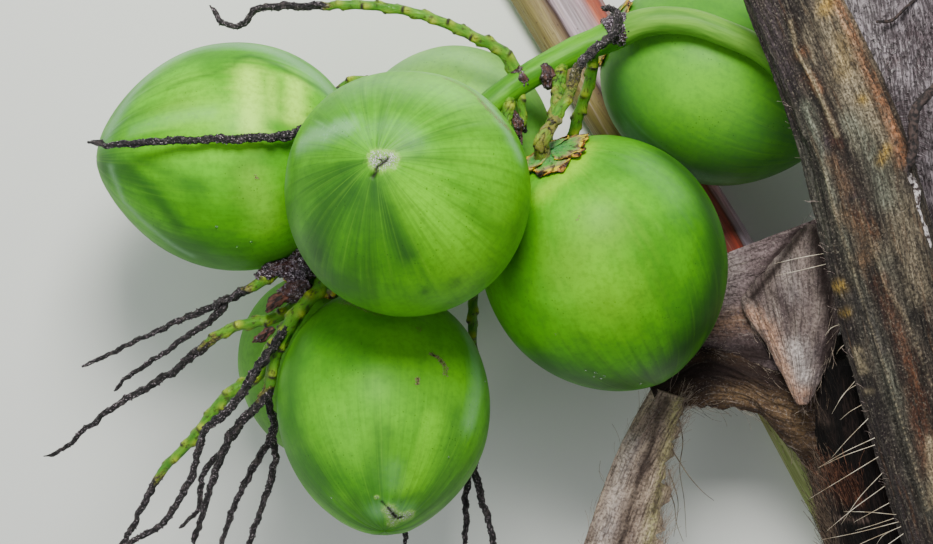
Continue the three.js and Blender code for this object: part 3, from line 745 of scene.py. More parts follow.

# Sheath: torn sheets of matted fibre cloth that once wrapped the crown. Each is stretched
# between its two edges, bowed towards the viewer, thin and ragged at the rims. The fibres of
# the flap run together at its tip, and those of the back and the fold run across them.

# ragged gives how far each edge is torn in, and gather the place where the fibres run together.
# The dark paths are mostly painted shade, along the crease between the flap and the back and
# where one sheet lies under the edge of another; on the strap they are its real dark seam and
# blotches.
SHEATH = {
    "flap": {
        "left": [(288, -115, 174), (261, -63, 168), (241, -26, 158), (263, 3, 164), (292, 34, 172)],
        "right": [(301, -112, 178), (322, -46, 206), (325, 6, 226), (322, 44, 232)],
        "thickness": 4, "bow": 8, "ruffle": 2.0, "ragged": (2.5, 2.5), "gather": (296, -135),
        "dark": [
            ([(299, 34), (305, -2), (311, -32), (314, -54), (310, -78)], 6.5, 1.0),
            ([(291, 37), (271, 6), (250, -22)], 3, 1.0), ([(262, -14), (276, -30), (282, -48)], 2.5, 0.5),
        ],
        "warm": [
            ([(250, -36), (263, -50), (272, -70), (282, -97), (288, -115)], 6, 1.0),
            ([(290, -104)], 7, 0.9),
        ],
        "chalky": [([(284, -66), (290, -80), (292, -90)], 9, 0.75), ([(272, 14), (282, -20)], 9, 0.2)],
    },
    "back": {
        "left": [(182, -84, 128), (184, -40, 128), (198, 4, 132)],
        "right": [(300, -96, 160), (318, -10, 178), (314, 50, 182)],
        "thickness": 4, "bow": 0, "ruffle": 2.2, "ragged": (2, 2), "across": True,
        "dark": [
            ([(190, -82), (233, -78), (268, -72)], 15, 1.0), ([(289, 37), (268, 11), (246, -24)], 4, 0.9),
        ],
        "warm": [([(215, -48), (245, -40)], 11, 0.9), ([(240, -44), (262, -58)], 2, 0.9)],
        "chalky": [([(232, 10), (222, -22)], 14, 0.25)],
    },
    "fold": {
        "left": [(160, -97, 140), (199, -66, 134), (237, -72, 146), (272, -86, 157), (316, -90, 160)],
        "right": [(167, -120, 142), (197, -122, 138), (258, -128, 134), (287, -156, 124), (320, -194, 114)],
        "thickness": 4.5, "bow": 9, "ruffle": 2.6, "ragged": (3, 6), "fringe": 120000.0,
        "dark": [
            ([(160, -104), (180, -98), (202, -88), (236, -86), (270, -94)], 13, 1.0),
            ([(300, -150), (318, -185)], 10, 0.5), ([(222, -90), (262, -86)], 11, 0.9),
        ],
        "warm": [([(228, -108), (259, -108), (284, -124), (300, -150)], 10, 0.9)],
        "chalky": [],
    },
    "strap": {
        "left": [(88, -292, 130), (104, -242, 134), (134, -158, 141), (164, -101, 146)],
        "right": [(158, -293, 122), (178, -243, 125), (186, -158, 131), (200, -112, 138)],
        "thickness": 5.5, "bow": 9, "ruffle": 2.4, "ragged": (0.5, 16), "fringe": 340000.0,
        "dark": [
            ([(177, -113), (166, -139), (153, -184), (137, -237), (128, -290)], 4, 0.75),
            ([(166, -262), (160, -290)], 8, 0.8), ([(172, -190), (166, -214)], 3, 0.6),
        ],
        "warm": [([(186, -116), (180, -148), (173, -184), (163, -232), (150, -290)], 7, 0.9)],
        "chalky": [([(146, -150), (128, -210), (112, -270)], 8, 0.5)],
    },
}
SHEATH_STAINS_AND_SHADE = ("dark", "warm", "chalky")
SHEATH_COLUMNS = 100
FAN_RADIUS = 110
RIM_SHARPNESS = 14
FULL_FRINGE = 3
SHEATH_COLOURS = {
    "flap": ("584a4b", "877871", "c79c82"),
    "back": ("5e4f50", "8c7a7b", "94745f"),
    "fold": ("261b16", "54402d", "7a6144"),
    "strap": ("7a695e", "bba591", "aea674"),
}


def sheet(spec, columns, step):
    """Rings round a thin sheet between two edges, with its grain and the way its fibres run."""
    left_line, left_ways, reach = trace(spec["left"], step)
    rows = len(left_line)
    right_line, right_ways, _ = trace(spec["right"], 1)
    pick = np.linspace(0, len(right_line) - 1, rows)
    index = np.arange(len(right_line))
    right_line, right_ways = [
        np.stack([np.interp(pick, index, values[:, k]) for k in range(3)], axis=1)
        for values in (right_line, right_ways)
    ]
    width = right_line - left_line
    breadth = np.linalg.norm(width, axis=1)[:, None]
    spans = np.broadcast_to(np.linspace(0, 1, columns), (rows, columns))
    along = np.broadcast_to(reach[:, None], spans.shape)
    either_side = np.stack([0 * along, 50 * (spans > 0.5), along], axis=-1)
    torn = np.maximum(0, 0.4 + 0.7 * ripple(either_side, 9, 13, 3))
    inward = np.where(spans > 0.5, spec["ragged"][1], spec["ragged"][0]) * torn
    spans = spans + (1 - 2 * spans) * (1 - 2 * spans) ** 2 * inward / breadth
    rise = unit(left_ways[:, None] * (1 - spans[..., None]) + right_ways[:, None] * spans[..., None])
    over = unit(np.broadcast_to(width[:, None], rise.shape))
    facing = unit(np.cross(over, rise))
    middle = left_line[:, None] + width[:, None] * spans[..., None]
    grain = np.stack([spans * breadth, 0 * along, along], axis=-1)
    way = rise
    if "gather" in spec:
        away = middle[..., :2] - spec["gather"]
        distance = np.linalg.norm(away, axis=-1)
        fan = FAN_RADIUS * np.arctan2(away[..., 0], away[..., 1])
        grain = np.stack([fan, 0 * along, distance], axis=-1)
        way = unit(np.concatenate([-away, 0 * away[..., :1]], axis=-1))
    if spec.get("across"):
        grain = grain[..., ::-1]
        way = over
    lift = spec["bow"] * 4 * spans * (1 - spans) + spec["ruffle"] * ripple(grain, 13, 70, 3)
    lift = lift + 1.1 * ripple(grain, 6, 17, 3)
    middle = middle + facing * lift[..., None]
    half = spec["thickness"] / 2 * (0.12 + 0.88 * (1 - np.abs(1 - 2 * spans) ** 6))
    fibres = 0.55 * ripple(grain, 2.4, 34, 3)
    rings = np.concatenate([
        middle + facing * (half + fibres)[..., None],
        (middle - facing * half[..., None])[:, ::-1],
    ], axis=1)
    both = np.concatenate([grain, grain[:, ::-1] + (0, spec["thickness"], 0)], axis=1)
    return rings, both, np.concatenate([way, way[:, ::-1]], axis=1)


def sheath_cloth(name, deep, pale, warm):
    """Matted fibre cloth: brown to lilac grey, with painted shade in its creases, pale edges and fine
    fibres.
    """
    material, tree, shader, grain, place = new_material(name)
    traits = carried(tree, SHEATH_STAINS_AND_SHADE)
    broad = mask(tree, "streaks", grain, across=70, along=24, detail=5, low=0.35, high=0.65)
    shade = blend(tree, broad, screen(deep), screen(pale))
    patchy = mask(tree, "streaks", place, across=260, along=260, detail=4, low=0.25, high=0.55)
    shade = blend(tree, maths(tree, "MULTIPLY", traits["warm"], patchy), shade, screen(warm))
    chalk = maths(tree, "MULTIPLY", traits["chalky"], maths(tree, "MULTIPLY_ADD", patchy, 0.6, 0.3))
    shade = blend(tree, chalk, shade, screen("ddd2cc"))
    strands = mask(tree, "streaks", grain, across=480, along=46, detail=5, low=0.5, high=0.62)
    shade = lay(tree, shade, strands, 0.55, "2e2321")
    glints = mask(tree, "streaks", grain, across=520, along=34, detail=3, low=0.58, high=0.68)
    shade = lay(tree, shade, glints, 0.35, "cabcb0")
    felted = mask(tree, "streaks", place, across=420, along=420, detail=5, low=0.47, high=0.6)
    shade = lay(tree, shade, felted, 0.5, "332928")
    lint = mask(tree, "streaks", place, across=560, along=560, detail=3, low=0.56, high=0.66)
    shade = lay(tree, shade, lint, 0.3, "bdb0a8")
    # Painted shade along the creases and under the edges of other sheets, and the strap's real dark marks.
    shade = lay(tree, shade, traits["dark"], 0.93, "221715")
    feed(tree, shader, {"Base Color": shade, "Roughness": 0.85, "Specular IOR Level": 0.25})
    bump(tree, shader, maths(tree, "SUBTRACT", lint, maths(tree, "ADD", felted, strands)), 0.7, 0.0006)
    return material


sheath = {}
for index, (key, spec) in enumerate(SHEATH.items()):
    rings, grain, ways = sheet(spec, SHEATH_COLUMNS, step=1.3)
    ragged = 0.3 * ripple(grain, 6, 20, 3)
    traits = {trait: stroke(rings, spec[trait], ragged) for trait in SHEATH_STAINS_AND_SHADE}
    there = np.linspace(-1, 1, SHEATH_COLUMNS)
    edge = np.abs(np.concatenate([there, -there])) ** RIM_SHARPNESS
    torn = np.minimum(1, np.array(spec["ragged"]) / FULL_FRINGE)
    edge = np.broadcast_to(edge * np.repeat(torn[[0, 1, 1, 0]], SHEATH_COLUMNS // 2), grain.shape[:2])
    everywhere = np.ones(grain.shape[:2])
    sheath[key] = skin(f"sheath_{key}_cloth", rings, grain=grain * MM, way=ways, edge=edge,
                       cover=everywhere, **traits)
    deep, pale, warm = SHEATH_COLOURS[key]
    nap = grow(
        f"sheath_{key}_nap", sheath[key], STRANDS, density=3400.0, length=0.015, thickness=0.00013,
        lift=0.05, spread=0.35, bend=0.2, seed=STRAND_SEED + 10 + index, where="cover",
        material=plain_fibre(f"sheath_{key}_nap", deep, pale, scale=200),
    )
    fringe = grow(
        f"sheath_{key}_fringe", sheath[key], STRANDS, density=spec.get("fringe", 50000.0), length=0.02,
        thickness=0.00013, lift=0.1, spread=0.5, bend=0.22, seed=STRAND_SEED + 20 + index, where="edge",
        material=plain_fibre(f"sheath_{key}_fringe", deep, "b8a794", scale=200),
    )
    settle(sheath[key], sheath_cloth(f"sheath_{key}_cloth", deep, pale, warm), "sheath", f"sheath_{key}")
    settle(nap, None, "sheath")
    settle(fringe, None, "sheath")

# Stray fibres: pale, stiff hairs that the front leaf stalk's frayed edge still holds. Each is
# rooted in the stalk and reaches out over the dark gap beside it.
STRAY_FIBRES = [
    ((299, 15), (262, 7)), ((300, 6), (263, -3)), ((314, -44), (305, -54)), ((317, -60), (315, -70)),
    ((325, -91), (311, -121)), ((328, -94), (316, -111)), ((335, -124), (311, -158)),
    ((340, -141), (299, -167)), ((340, -147), (299, -167)), ((343, -157), (292, -193)),
    ((346, -171), (319, -215)), ((348, -182), (306, -221)), ((356, -209), (331, -220)),
    ((357, -218), (349, -232)), ((352, -196), (330, -213)), ((331, -112), (318, -126)),
    ((358, -206), (321, -204)), ((360, -212), (302, -228)), ((362, -216), (308, -246)),
    ((364, -222), (322, -262)),
]
HANGING_FIBRES = [
    ((186, -122, 136), (193, -150, 126), (191, -176, 118), (196, -206, 108), (199, -240, 96)),
    ((184, -160, 130), (200, -184, 122), (214, -199, 112), (223, -206, 106)),
    ((178, -188, 126), (186, -208, 118), (189, -226, 108), (196, -244, 98)),
    ((180, -176, 126), (190, -206, 112), (188, -240, 92)),
]
ROOT_HEIGHT = 238
REACH_HEIGHT = 222
ROOT_DEPTH = 5
STRAY_RADII = [0.26, 0.22, 0.08]
HANGING_RADII = [0.6, 0.4, 0.2]


def tube(points, radii, columns, step):
    """Rings of a round limb along a smooth line, their grain, and the way outwards."""
    line, ways, distance = trace(points, step)
    side = np.zeros_like(ways)
    side[0] = unit(np.cross(ways[0], (0.31, 0.17, 0.93)))
    for i in range(1, len(ways)):
        side[i] = unit(side[i - 1] - ways[i] * side[i - 1].dot(ways[i]))
    other = np.cross(ways, side)
    turn = np.linspace(0, 2 * math.pi, columns, endpoint=False)
    out = np.cos(turn)[:, None] * side[:, None] + np.sin(turn)[:, None] * other[:, None]
    radius = spread(radii, len(line))[:, None]
    along = np.broadcast_to(distance[:, None], out.shape[:2])
    grain = np.stack([np.cos(turn) * radius, np.sin(turn) * radius, along], axis=-1)
    return line[:, None] + out * radius[..., None], grain, out


def join(name, pieces):
    """Joins pieces into the first of them and names it."""
    with bpy.context.temp_override(active_object=pieces[0], selected_editable_objects=pieces):
        bpy.ops.object.join()
    pieces[0].name = name
    return pieces[0]


fibres = []
for index, (root, reach) in enumerate(STRAY_FIBRES):
    held = (root[0] + ROOT_DEPTH, root[1] + 1, ROOT_HEIGHT)
    sag = 1.3 * math.sin(2.3 * index) - 0.7
    bowed = ((root[0] + reach[0]) / 2, (root[1] + reach[1]) / 2 - sag, (ROOT_HEIGHT + REACH_HEIGHT) / 2 + 3)
    rings, grain, out = tube([held, bowed, (*reach, REACH_HEIGHT)], STRAY_RADII, columns=5, step=2)
    fibres.append(skin(f"stray_fibre_{index}", rings, grain=grain * MM))
stray_look = plain_fibre("stray_fibre", "a8967c", "f0e6d0", scale=70)
settle(join("stray_fibres", fibres), stray_look, "dry_leaf_stalk")
fibres = []
for index, points in enumerate(HANGING_FIBRES):
    rings, grain, out = tube(points, HANGING_RADII, columns=5, step=2)
    fibres.append(skin(f"hanging_fibre_{index}", rings, grain=grain * MM))
settle(join("hanging_fibres", fibres), plain_fibre("hanging_fibre", "4a3c30", "8f8068", scale=90), "sheath")

# Bunch stalk and axis: the smooth, fleshy green stalk that the bunch hangs from, and its
# branched end past the node, which bears the fruit stems and the spikelets.
STALK = {
    "points": [
        (379, -50, 140), (366, -24, 168), (343, 32, 196), (319, 96, 215), (290, 149, 222),
        (253, 187, 225), (217, 204, 225), (190, 213, 221), (156, 214, 212), (132, 207, 201),
    ],
    "radii": [14, 12.5, 11.5, 11, 11, 11, 11, 11, 11.5, 13.5],
}
AXIS = {
    "points": [
        (130, 206, 200), (98, 192, 201), (67, 176, 205), (33, 154, 211),
        (-12, 113, 217), (-52, 75, 218), (-95, 37, 217), (-140, -1, 214),
    ],
    "radii": [13.5, 12, 11.5, 11.5, 10.5, 10, 9.5, 11, 10],
}


def patch():
    """Mask of one ragged patch round a place."""
    tree, start, end = effect("patch", place=(0, 0, 0), radius=0.02, ragged=0.3, grit=200)
    ends = {0: start.outputs["Vector"], 1: start.outputs["Place"]}
    away = vectors(tree, "DISTANCE", ends, output="Value")
    uneven = add(tree, "ShaderNodeTexNoise", {
        "Vector": start.outputs["Vector"], "Scale": start.outputs["Grit"], "Detail": 3,
    })
    centred = maths(tree, "SUBTRACT", uneven.outputs["Fac"], 0.5)
    share = maths(tree, "DIVIDE", away, start.outputs["Radius"])
    edge = maths(tree, "MULTIPLY_ADD", centred, start.outputs["Ragged"], share)
    shown = progress(tree, edge, 1, 0.3, interpolation_type="SMOOTHSTEP")
    tree.links.new(shown, end.inputs["Mask"])
    return tree


def green_stalk(name, pale, deep, scar_amount=0.5, yellow=None):
    """Smooth satin green with soft ribs, a yellow patch and brown scuffs."""
    material, tree, shader, grain, place = new_material(name)
    soft = mask(tree, "streaks", grain, across=90, along=14, low=0.35, high=0.65)
    shade = blend(tree, soft, screen(deep), screen(pale))
    ribs = mask(tree, "streaks", grain, across=420, along=12, low=0.45, high=0.62)
    shade = lay(tree, shade, ribs, 0.14, "3f6a1c")
    if yellow is not None:
        pale_patch = mask(tree, "patch", place, place=yellow, radius=0.05, ragged=0.4, grit=30)
        shade = lay(tree, shade, pale_patch, 0.7, "b9b52e")
    scuffs = mask(tree, "streaks", grain, across=260, along=130, detail=5, low=0.66, high=0.72)
    shade = lay(tree, shade, scuffs, scar_amount, "4a3a26")
    feed(tree, shader, {
        "Base Color": shade,
        "Roughness": 0.5,
        "Specular IOR Level": 0.22,
        "Subsurface Weight": 0.06,
        "Subsurface Radius": (0.006, 0.008, 0.002),
    })
    bump(tree, shader, ribs, 0.25, 0.0004)
    return material


EFFECTS["patch"] = patch()
STALK_FOOT = tuple((np.array((350, 60.4, 200)) - LAYOUT_CENTRE) * MM)
rings, grain, out = tube(STALK["points"], STALK["radii"], columns=48, step=2.2)
rings = push(rings, 0.5 * ripple(grain, 14, 60) + 0.12 * ripple(grain, 2.2, 60))
bunch_stalk = skin("bunch_stalk_skin", rings, grain=grain * MM)
settle(bunch_stalk, green_stalk("bunch_stalk_green", "6fa536", "4b8424", 0.35, STALK_FOOT),
       "green_stalk", "bunch_stalk")
rings, grain, out = tube(AXIS["points"], AXIS["radii"], columns=48, step=2)
rings = push(rings, 0.9 * ripple(grain, 12, 30, 3) + 0.15 * ripple(grain, 2, 40))
axis = skin("bunch_axis_skin", rings, grain=grain * MM)
axis_green = green_stalk("bunch_axis_green", "5ca614", "3a7c10", 0.7)
settle(axis, axis_green, "green_stalk", "bunch_axis")

# Spikelets: the fruitless twigs of the bunch, green and knobbly with flower scars near the
# axis, dried black and crinkled towards their tips. dry_from is where they turn dark.
SPIKELETS = {
    "sweep_1": {
        "points": [(-135, 3, 218), (-159, 1, 222), (-184, -14, 226), (-269, -53, 226), (-328, -81, 222)],
        "radii": [7, 6, 4.5, 3.5, 3, 2.6, 2], "dry_from": 0.25,
    },
    "sweep_2": {
        "points": [
            (-203, -22, 226), (-212, -35, 225), (-260, -70, 220), (-281, -84, 217), (-302, -101, 213),
        ],
        "radii": [4.5, 3.6, 3, 2.6, 2], "dry_from": 0,
    },
    "sweep_3": {
        "points": [
            (-134, -3, 212), (-154, -34, 211), (-205, -50, 214), (-248, -83, 213),
            (-308, -120, 210), (-354, -157, 204), (-363, -158, 203),
        ],
        "radii": [7, 6, 5.2, 4.4, 3.6, 3, 2], "dry_from": 0.38,
    },
    "long_1": {
        "points": [
            (-127, 7, 210), (-143, -31, 203), (-169, -67, 201), (-181, -90, 204), (-204, -105, 208),
            (-234, -142, 206), (-263, -173, 201), (-285, -213, 192), (-304, -246, 184),
        ],
        "radii": [8, 7.5, 7, 6.5, 6, 5.2, 4.2, 3.5, 3], "dry_from": 0.73,
    },
    "long_2": {
        "points": [
            (-150, -44, 232), (-174, -78, 240), (-202, -118, 237), (-221, -134, 232), (-235, -176, 224),
            (-263, -218, 212), (-279, -227, 208), (-294, -237, 205),
        ],
        "radii": [4.5, 5, 4.5, 4, 4, 3.5, 3], "dry_from": 0,
    },
    "long_3": {
        "points": [
            (-118, 15, 220), (-124, -12, 230), (-145, -36, 232), (-162, -68, 226), (-171, -105, 221),
            (-200, -137, 218), (-217, -177, 213), (-229, -216, 206), (-236, -238, 202),
        ],
        "radii": [8, 7, 7, 6.5, 5.5, 4.5, 4, 3.5, 3], "dry_from": 0.47,
    },
    "long_4": {
        "points": [
            (-193, -130, 217), (-209, -152, 206), (-227, -174, 201), (-231, -203, 200), (-248, -221, 199),
        ],
        "radii": [4.5, 4, 3.5, 3, 2], "dry_from": 0,
    },
    "inner_1": {
        "points": [
            (-113, 19, 210), (-138, -28, 200), (-165, -74, 184), (-173, -108, 174), (-168, -135, 168),
            (-196, -188, 163), (-208, -216, 159), (-217, -245, 156),
        ],
        "radii": [6, 5, 5, 4.5, 4, 3.5, 3], "dry_from": 0.37,
    },
    "inner_2": {
        "points": [(-170, -136, 167), (-168, -168, 168), (-183, -216, 165), (-192, -244, 163)],
        "radii": [4, 4, 3.5, 3], "dry_from": 0,
    },
    "right_1": {
        "points": [
            (-14, 109, 214), (10, 65, 194), (8, 19, 184), (6, -22, 182), (5, -55, 171),
            (7, -99, 160), (8, -147, 156), (-1, -198, 158), (0, -216, 157), (-3, -246, 155),
        ],
        "radii": [7, 6, 5.5, 5, 5, 4.5, 4, 3.5, 3], "dry_from": 0.52,
    },
    "right_2": {
        "points": [(7, -158, 157), (9, -184, 163), (21, -226, 166), (25, -249, 164)],
        "radii": [4, 4, 3.5, 3], "dry_from": 0,
    },
    "lower": {
        "points": [(-81, 50, 212), (-57, -22, 143), (-44, -115, 114), (-51, -186, 121), (-55, -246, 140)],
        "radii": [6, 5, 4.5, 4, 3], "dry_from": 0.3,
    },
    "top": {
        "points": [
            (45, 166, 208), (33, 186, 213), (3, 202, 222), (-37, 218, 228), (-82, 226, 230),
            (-140, 225, 230), (-176, 223, 230), (-192, 209, 228), (-207, 212, 226), (-218, 228, 222),
        ],
        "radii": [8, 6, 5.5, 5, 5, 4.5, 4, 3.5, 3], "dry_from": 0.6,
    },
    "across": {
        "points": [
            (-35, 89, 216), (-79, 132, 250), (-113, 133, 281), (-143, 113, 298),
            (-181, 109, 307), (-245, 107, 302), (-294, 105, 288), (-314, 107, 282),
        ],
        "radii": [6, 5, 5, 4.5, 4.5, 4, 4, 3], "dry_from": 0.25,
    },
    "stub": {
        "points": [(-12, 113, 217), (-61, 151, 190), (-96, 168, 170), (-116, 158, 160)],
        "radii": [6, 5, 5, 4], "dry_from": 0.97,
    },
    "node_right": {
        "points": [
            (74, 129, 251), (88, 153, 244), (94, 173, 236), (112, 191, 227), (127, 207, 221),
            (128, 223, 214), (115, 227, 209),
        ],
        "radii": [6, 5.5, 5, 5.5, 4.5, 3], "dry_from": 0.27, "turning": 0.3,
    },
    "node_behind": {
        "points": [(107, 195, 199), (109, 178, 192), (103, 153, 187), (94, 125, 176), (92, 97, 150)],
        "radii": [7, 6, 6, 5.5, 4], "dry_from": 0.9,
    },
    "collar": {
        "points": [(45, 168, 206), (47, 146, 211), (50, 118, 208)],
        "radii": [5.5, 4.5, 3], "dry_from": 0.85,
    },
}
KNOB_SPACING = 7.5
KNOB_TURN = 2.4
KNOB_LENGTH = 3.8
KNOB_BREADTH = 0.85
BRACT_PLACE = 3.0
BRACT_LENGTH = 1.5
BRACT_BREADTH = 0.75
ALL_DRY = 9
TIP_SHARE = 0.03
GRAINS_SHOWN = 0.45
GRAIN_SEED = 41


def knobs(grain, seed):
    """Heights of the flower knobs that spiral round a twig, and the dark bract beyond each."""
    distance = grain[..., 2]
    turn = np.arctan2(grain[..., 1], grain[..., 0])
    dice = np.random.default_rng(seed)
    height = np.zeros(distance.shape)
    scar = np.zeros(distance.shape)
    for index in range(int(distance.max() / KNOB_SPACING) + 1):
        at = (index + 0.5 + dice.uniform(-0.25, 0.25)) * KNOB_SPACING
        angle = index * KNOB_TURN + dice.uniform(-0.4, 0.4)
        size = dice.uniform(0.6, 1.2)
        around = np.angle(np.exp(1j * (turn - angle)))
        along = (distance - at) / KNOB_LENGTH
        height += size * np.exp(-(along ** 2 + (around / KNOB_BREADTH) ** 2))
        beyond = (distance - at - BRACT_PLACE + 1.9 * around ** 2) / BRACT_LENGTH
        bract = np.exp(-beyond ** 4 - (around / BRACT_BREADTH) ** 4)
        scar = np.maximum(scar, bract * dice.uniform(0.4, 1.3))
    return height, np.clip(scar, 0, 1)


def granules(grain, size):
    """Heights, about -0.5 to 0.5, of rough grains packed over a twig."""
    places = (grain.reshape(-1, 3) / size).tolist()
    nearest = [noise.voronoi(place)[0][0] for place in places]
    return 0.5 - np.array(nearest).reshape(grain.shape[:-1])


def spikelet_skin():
    """Yellow green with brown scars, turning through olive to granular black, with painted pale lilac grey
    highlights on the tops of the grains.
    """
    material, tree, shader, grain, place = new_material("spikelet_skin")
    traits = carried(tree, ("dry", "scar", "knob", "granule"))
    soft = mask(tree, "streaks", grain, across=160, along=60, low=0.35, high=0.65)
    fresh = blend(tree, soft, screen("3f8410"), screen("6aa81c"))
    fresh = lay(tree, fresh, traits["knob"], 0.8, "c2ce2c")
    stain = mask(tree, "streaks", grain, across=240, along=190, detail=4, low=0.56, high=0.64)
    fresh = lay(tree, fresh, stain, 0.7, "3a2c14")
    fresh = blend(tree, traits["scar"], fresh, screen("241812"))
    grit = mask(tree, "streaks", place, across=1100, along=1100, detail=3, low=0.4, high=0.62)
    crust = maths(tree, "MULTIPLY_ADD", grit, 0.45, traits["granule"])
    # The palest stop, over 1, is a painted highlight on the tops of the grains.
    old = ramp(tree, crust, [(0.4, "050304"), (0.75, "140e10"), (0.95, "4a3f44"), (1.15, "b4a8ae")])
    worn = mask(tree, "streaks", place, across=60, along=60, detail=3, low=0.42, high=0.62)
    old = lay(tree, old, worn, 0.7, "080506")
    bleached = mask(tree, "streaks", place, across=130, along=130, detail=4, low=0.54, high=0.64)
    old = lay(tree, old, bleached, 0.35, "5f5552")
    mid = ramp(tree, crust, [(0.3, "14100a"), (0.55, "4a4418"), (0.9, "8c8a34")])
    shade = blend(tree, progress(tree, traits["dry"], 0, 0.4), fresh, mid)
    shade = blend(tree, progress(tree, traits["dry"], 0.4, 0.9), shade, old)
    feed(tree, shader, {
        "Base Color": shade,
        "Roughness": maths(tree, "MULTIPLY_ADD", traits["dry"], 0.04, 0.4),
    })
    bump(tree, shader, grit, 0.8, 0.0007)
    return material


def rough_grain(tree, value, normal):
    """A rough ball, turned and stretched unlike its neighbours."""
    ball = add(tree, "GeometryNodeMeshIcoSphere", {"Radius": value["Size"], "Subdivisions": 1})
    return {
        "Instance": ball.outputs[0],
        "Rotation": chance(tree, value["Seed"], (0, 0, 0), (FULL_TURN, FULL_TURN, FULL_TURN)),
        "Scale": chance(tree, value["Seed"], (0.5, 0.5, 0.5), (1.5, 1.2, 1.1)),
    }


GRAINS = growth("grains", rough_grain, size=0.001)
spikelet_look = spikelet_skin()
grain_look = plain_fibre("spikelet_grain_skin", "060405", "6a5e64", rough=0.42, scale=500)
spikelet_grains = []
for seed, (key, spec) in enumerate(SPIKELETS.items()):
    rings, grain, out = tube(spec["points"], spec["radii"], columns=24, step=1.0)
    share = grain[..., 2] / grain[..., 2].max()
    turning = share - spec["dry_from"] + 0.06 * ripple(grain, 8, 16)
    dry = np.clip(turning / spec.get("turning", 0.05) + 0.5 + (spec["dry_from"] == 0) * ALL_DRY, 0, 1)
    height, scar = knobs(grain, seed)
    granule = granules(grain + seed * 17.0, 2.1)
    radius = np.linalg.norm(grain[..., :2], axis=-1)
    fresh_form = 0.3 * height - 0.2 + 0.2 * scar
    dry_form = 0.34 * ripple(grain + seed * 31.0, 2.8, 7, 3) + 0.1 * height - 0.26
    form = radius * (fresh_form * (1 - dry) + dry_form * dry) + 0.9 * granule * dry
    end_taper = -0.55 * radius * np.clip((share - 1 + TIP_SHARE) / TIP_SHARE, 0, 1)
    line = grain[:, :1] * (0, 0, 1)
    sway = np.stack([ripple(line + (seed * 70.0, k * 90.0, 0), 8, 11, 3) for k in range(3)], axis=-1)
    loose = np.clip(share[:, :1, None] * 10, 0, 1) * (0.5 + 1.2 * dry.mean(1)[:, None, None])
    rings = rings + out * (form + end_taper)[..., None] + sway * loose * (1, 1, 0.6)
    piece = skin(f"spikelet_{key}", rings, grain=grain * MM, dry=dry, scar=scar,
                 knob=np.clip(height, 0, 1), granule=np.clip(granule + GRAINS_SHOWN, 0, 1))
    spikelet_grains.append(grow(
        f"spikelet_grains_{key}", piece, GRAINS, density=26000.0, size=0.00095, seed=GRAIN_SEED + seed,
        where="dry", material=grain_look,
    ))
    settle(piece, spikelet_look, "spikelet", f"twig_{key}")
settle(join("spikelet_grains", spikelet_grains), None, "spikelet")

# Fruit stems: the short, thick stem of each nut, knobbly and cracked like the spikelets, green
# under its dark cracks. Each grows out of the axis and ends inside the nut's calyx.
FRUIT_STEMS = {
    "front": [(34, 156, 211), (35, 136, 221), (13, 91, 229), (-16, 57, 230), (-29, 45, 243)],
    "left": [(-55, 73, 218), (-76, 85, 214), (-96, 94, 200)],
    "lower": [(-98, 34, 215), (-86, 9, 198), (-76, -29, 162)],
    "right": [(82, 182, 203), (78, 154, 228), (73, 127, 252), (63, 109, 268), (64, 93, 252)],
    "upper": [(130, 208, 198), (128, 215, 168), (134, 216, 136)],
    "behind": [(-22, 101, 216), (-26, 103, 204), (-29, 105, 188)],
    "low": [(-124, 12, 212), (-128, 2, 165), (-135, -6, 115), (-134, -22, 92)],
}
FRUIT_STEM_RADII = [6.6, 6.2, 6, 6.4, 7.8]
FRUIT_STEM_WEAR = {"right": 0.24}

for seed, (key, points) in enumerate(FRUIT_STEMS.items()):
    rings, grain, out = tube(points, FRUIT_STEM_RADII, columns=48, step=0.9)
    height, scar = knobs(grain, 60 + seed)
    share = grain[..., 2] / grain[..., 2].max()
    cracks = cracked(grain, across=7, along=9)
    form = 1.9 * height - 0.8 + 1.0 * scar + 0.5 * ripple(grain, 3, 5) - 0.9 * cracks
    wear = FRUIT_STEM_WEAR.get(key, 0)
    dry = 0.75 * share - 0.45 + wear + (0.3 + wear) * ripple(grain, 9, 9)
    dry = np.clip(dry, 0, 0.36 + wear)
    stem = skin(f"fruit_stem_{key}_skin", push(rings, form), grain=grain * MM, dry=dry,
                scar=np.clip(scar + 0.9 * cracks, 0, 1), knob=np.clip(height, 0, 1),
                granule=np.clip(0.9 - cracks, 0, 1))
    settle(stem, spikelet_look, "green_stalk", f"fruit_stem_{key}")

# Crusts and bracts: where the spikelets leave the axis it is clotted with dead flower parts,
# wet, purple black and granular. Papery, reddish bracts are left on the twigs below it.
CRUSTS = {
    "axis_tip": (
        [(-92, 40, 217), (-114, 24, 221), (-134, 9, 226), (-153, -4, 221)], [10.5, 14, 16, 9], 0.0,
    ),
    "hollow": ([(-134, -8, 226), (-147, -16, 226), (-160, -20, 219)], [9, 9.5, 5], 0.3),
    "twig_foot": ([(-150, 4, 224), (-164, 2, 226), (-178, -6, 226)], [8, 6.5, 4], 0.1),
    "stalk_node": ([(140, 211, 204), (130, 208, 203), (121, 204, 203)], [13.2, 15.2, 13], 0.0),
    "top_collar": ([(50, 158, 210), (46, 167, 211), (41, 173, 211)], [6, 10, 6], 0.45),
    "ear": ([(66, 177, 214), (69, 170, 216), (71, 156, 214)], [3.5, 7.5, 2.5], 0.45),
    "upper_bract": ([(-146, -17, 226), (-160, -24, 230), (-170, -34, 224)], [3, 5.5, 1.5], 1.0),
    "lower_bract": ([(-164, -48, 230), (-172, -54, 233), (-182, -60, 229)], [2, 4.5, 1.5], 0.9),
    "axis_bract": ([(36, 140, 222), (44, 128, 220), (46, 108, 214)], [2, 4, 1.5], 0.7),
}


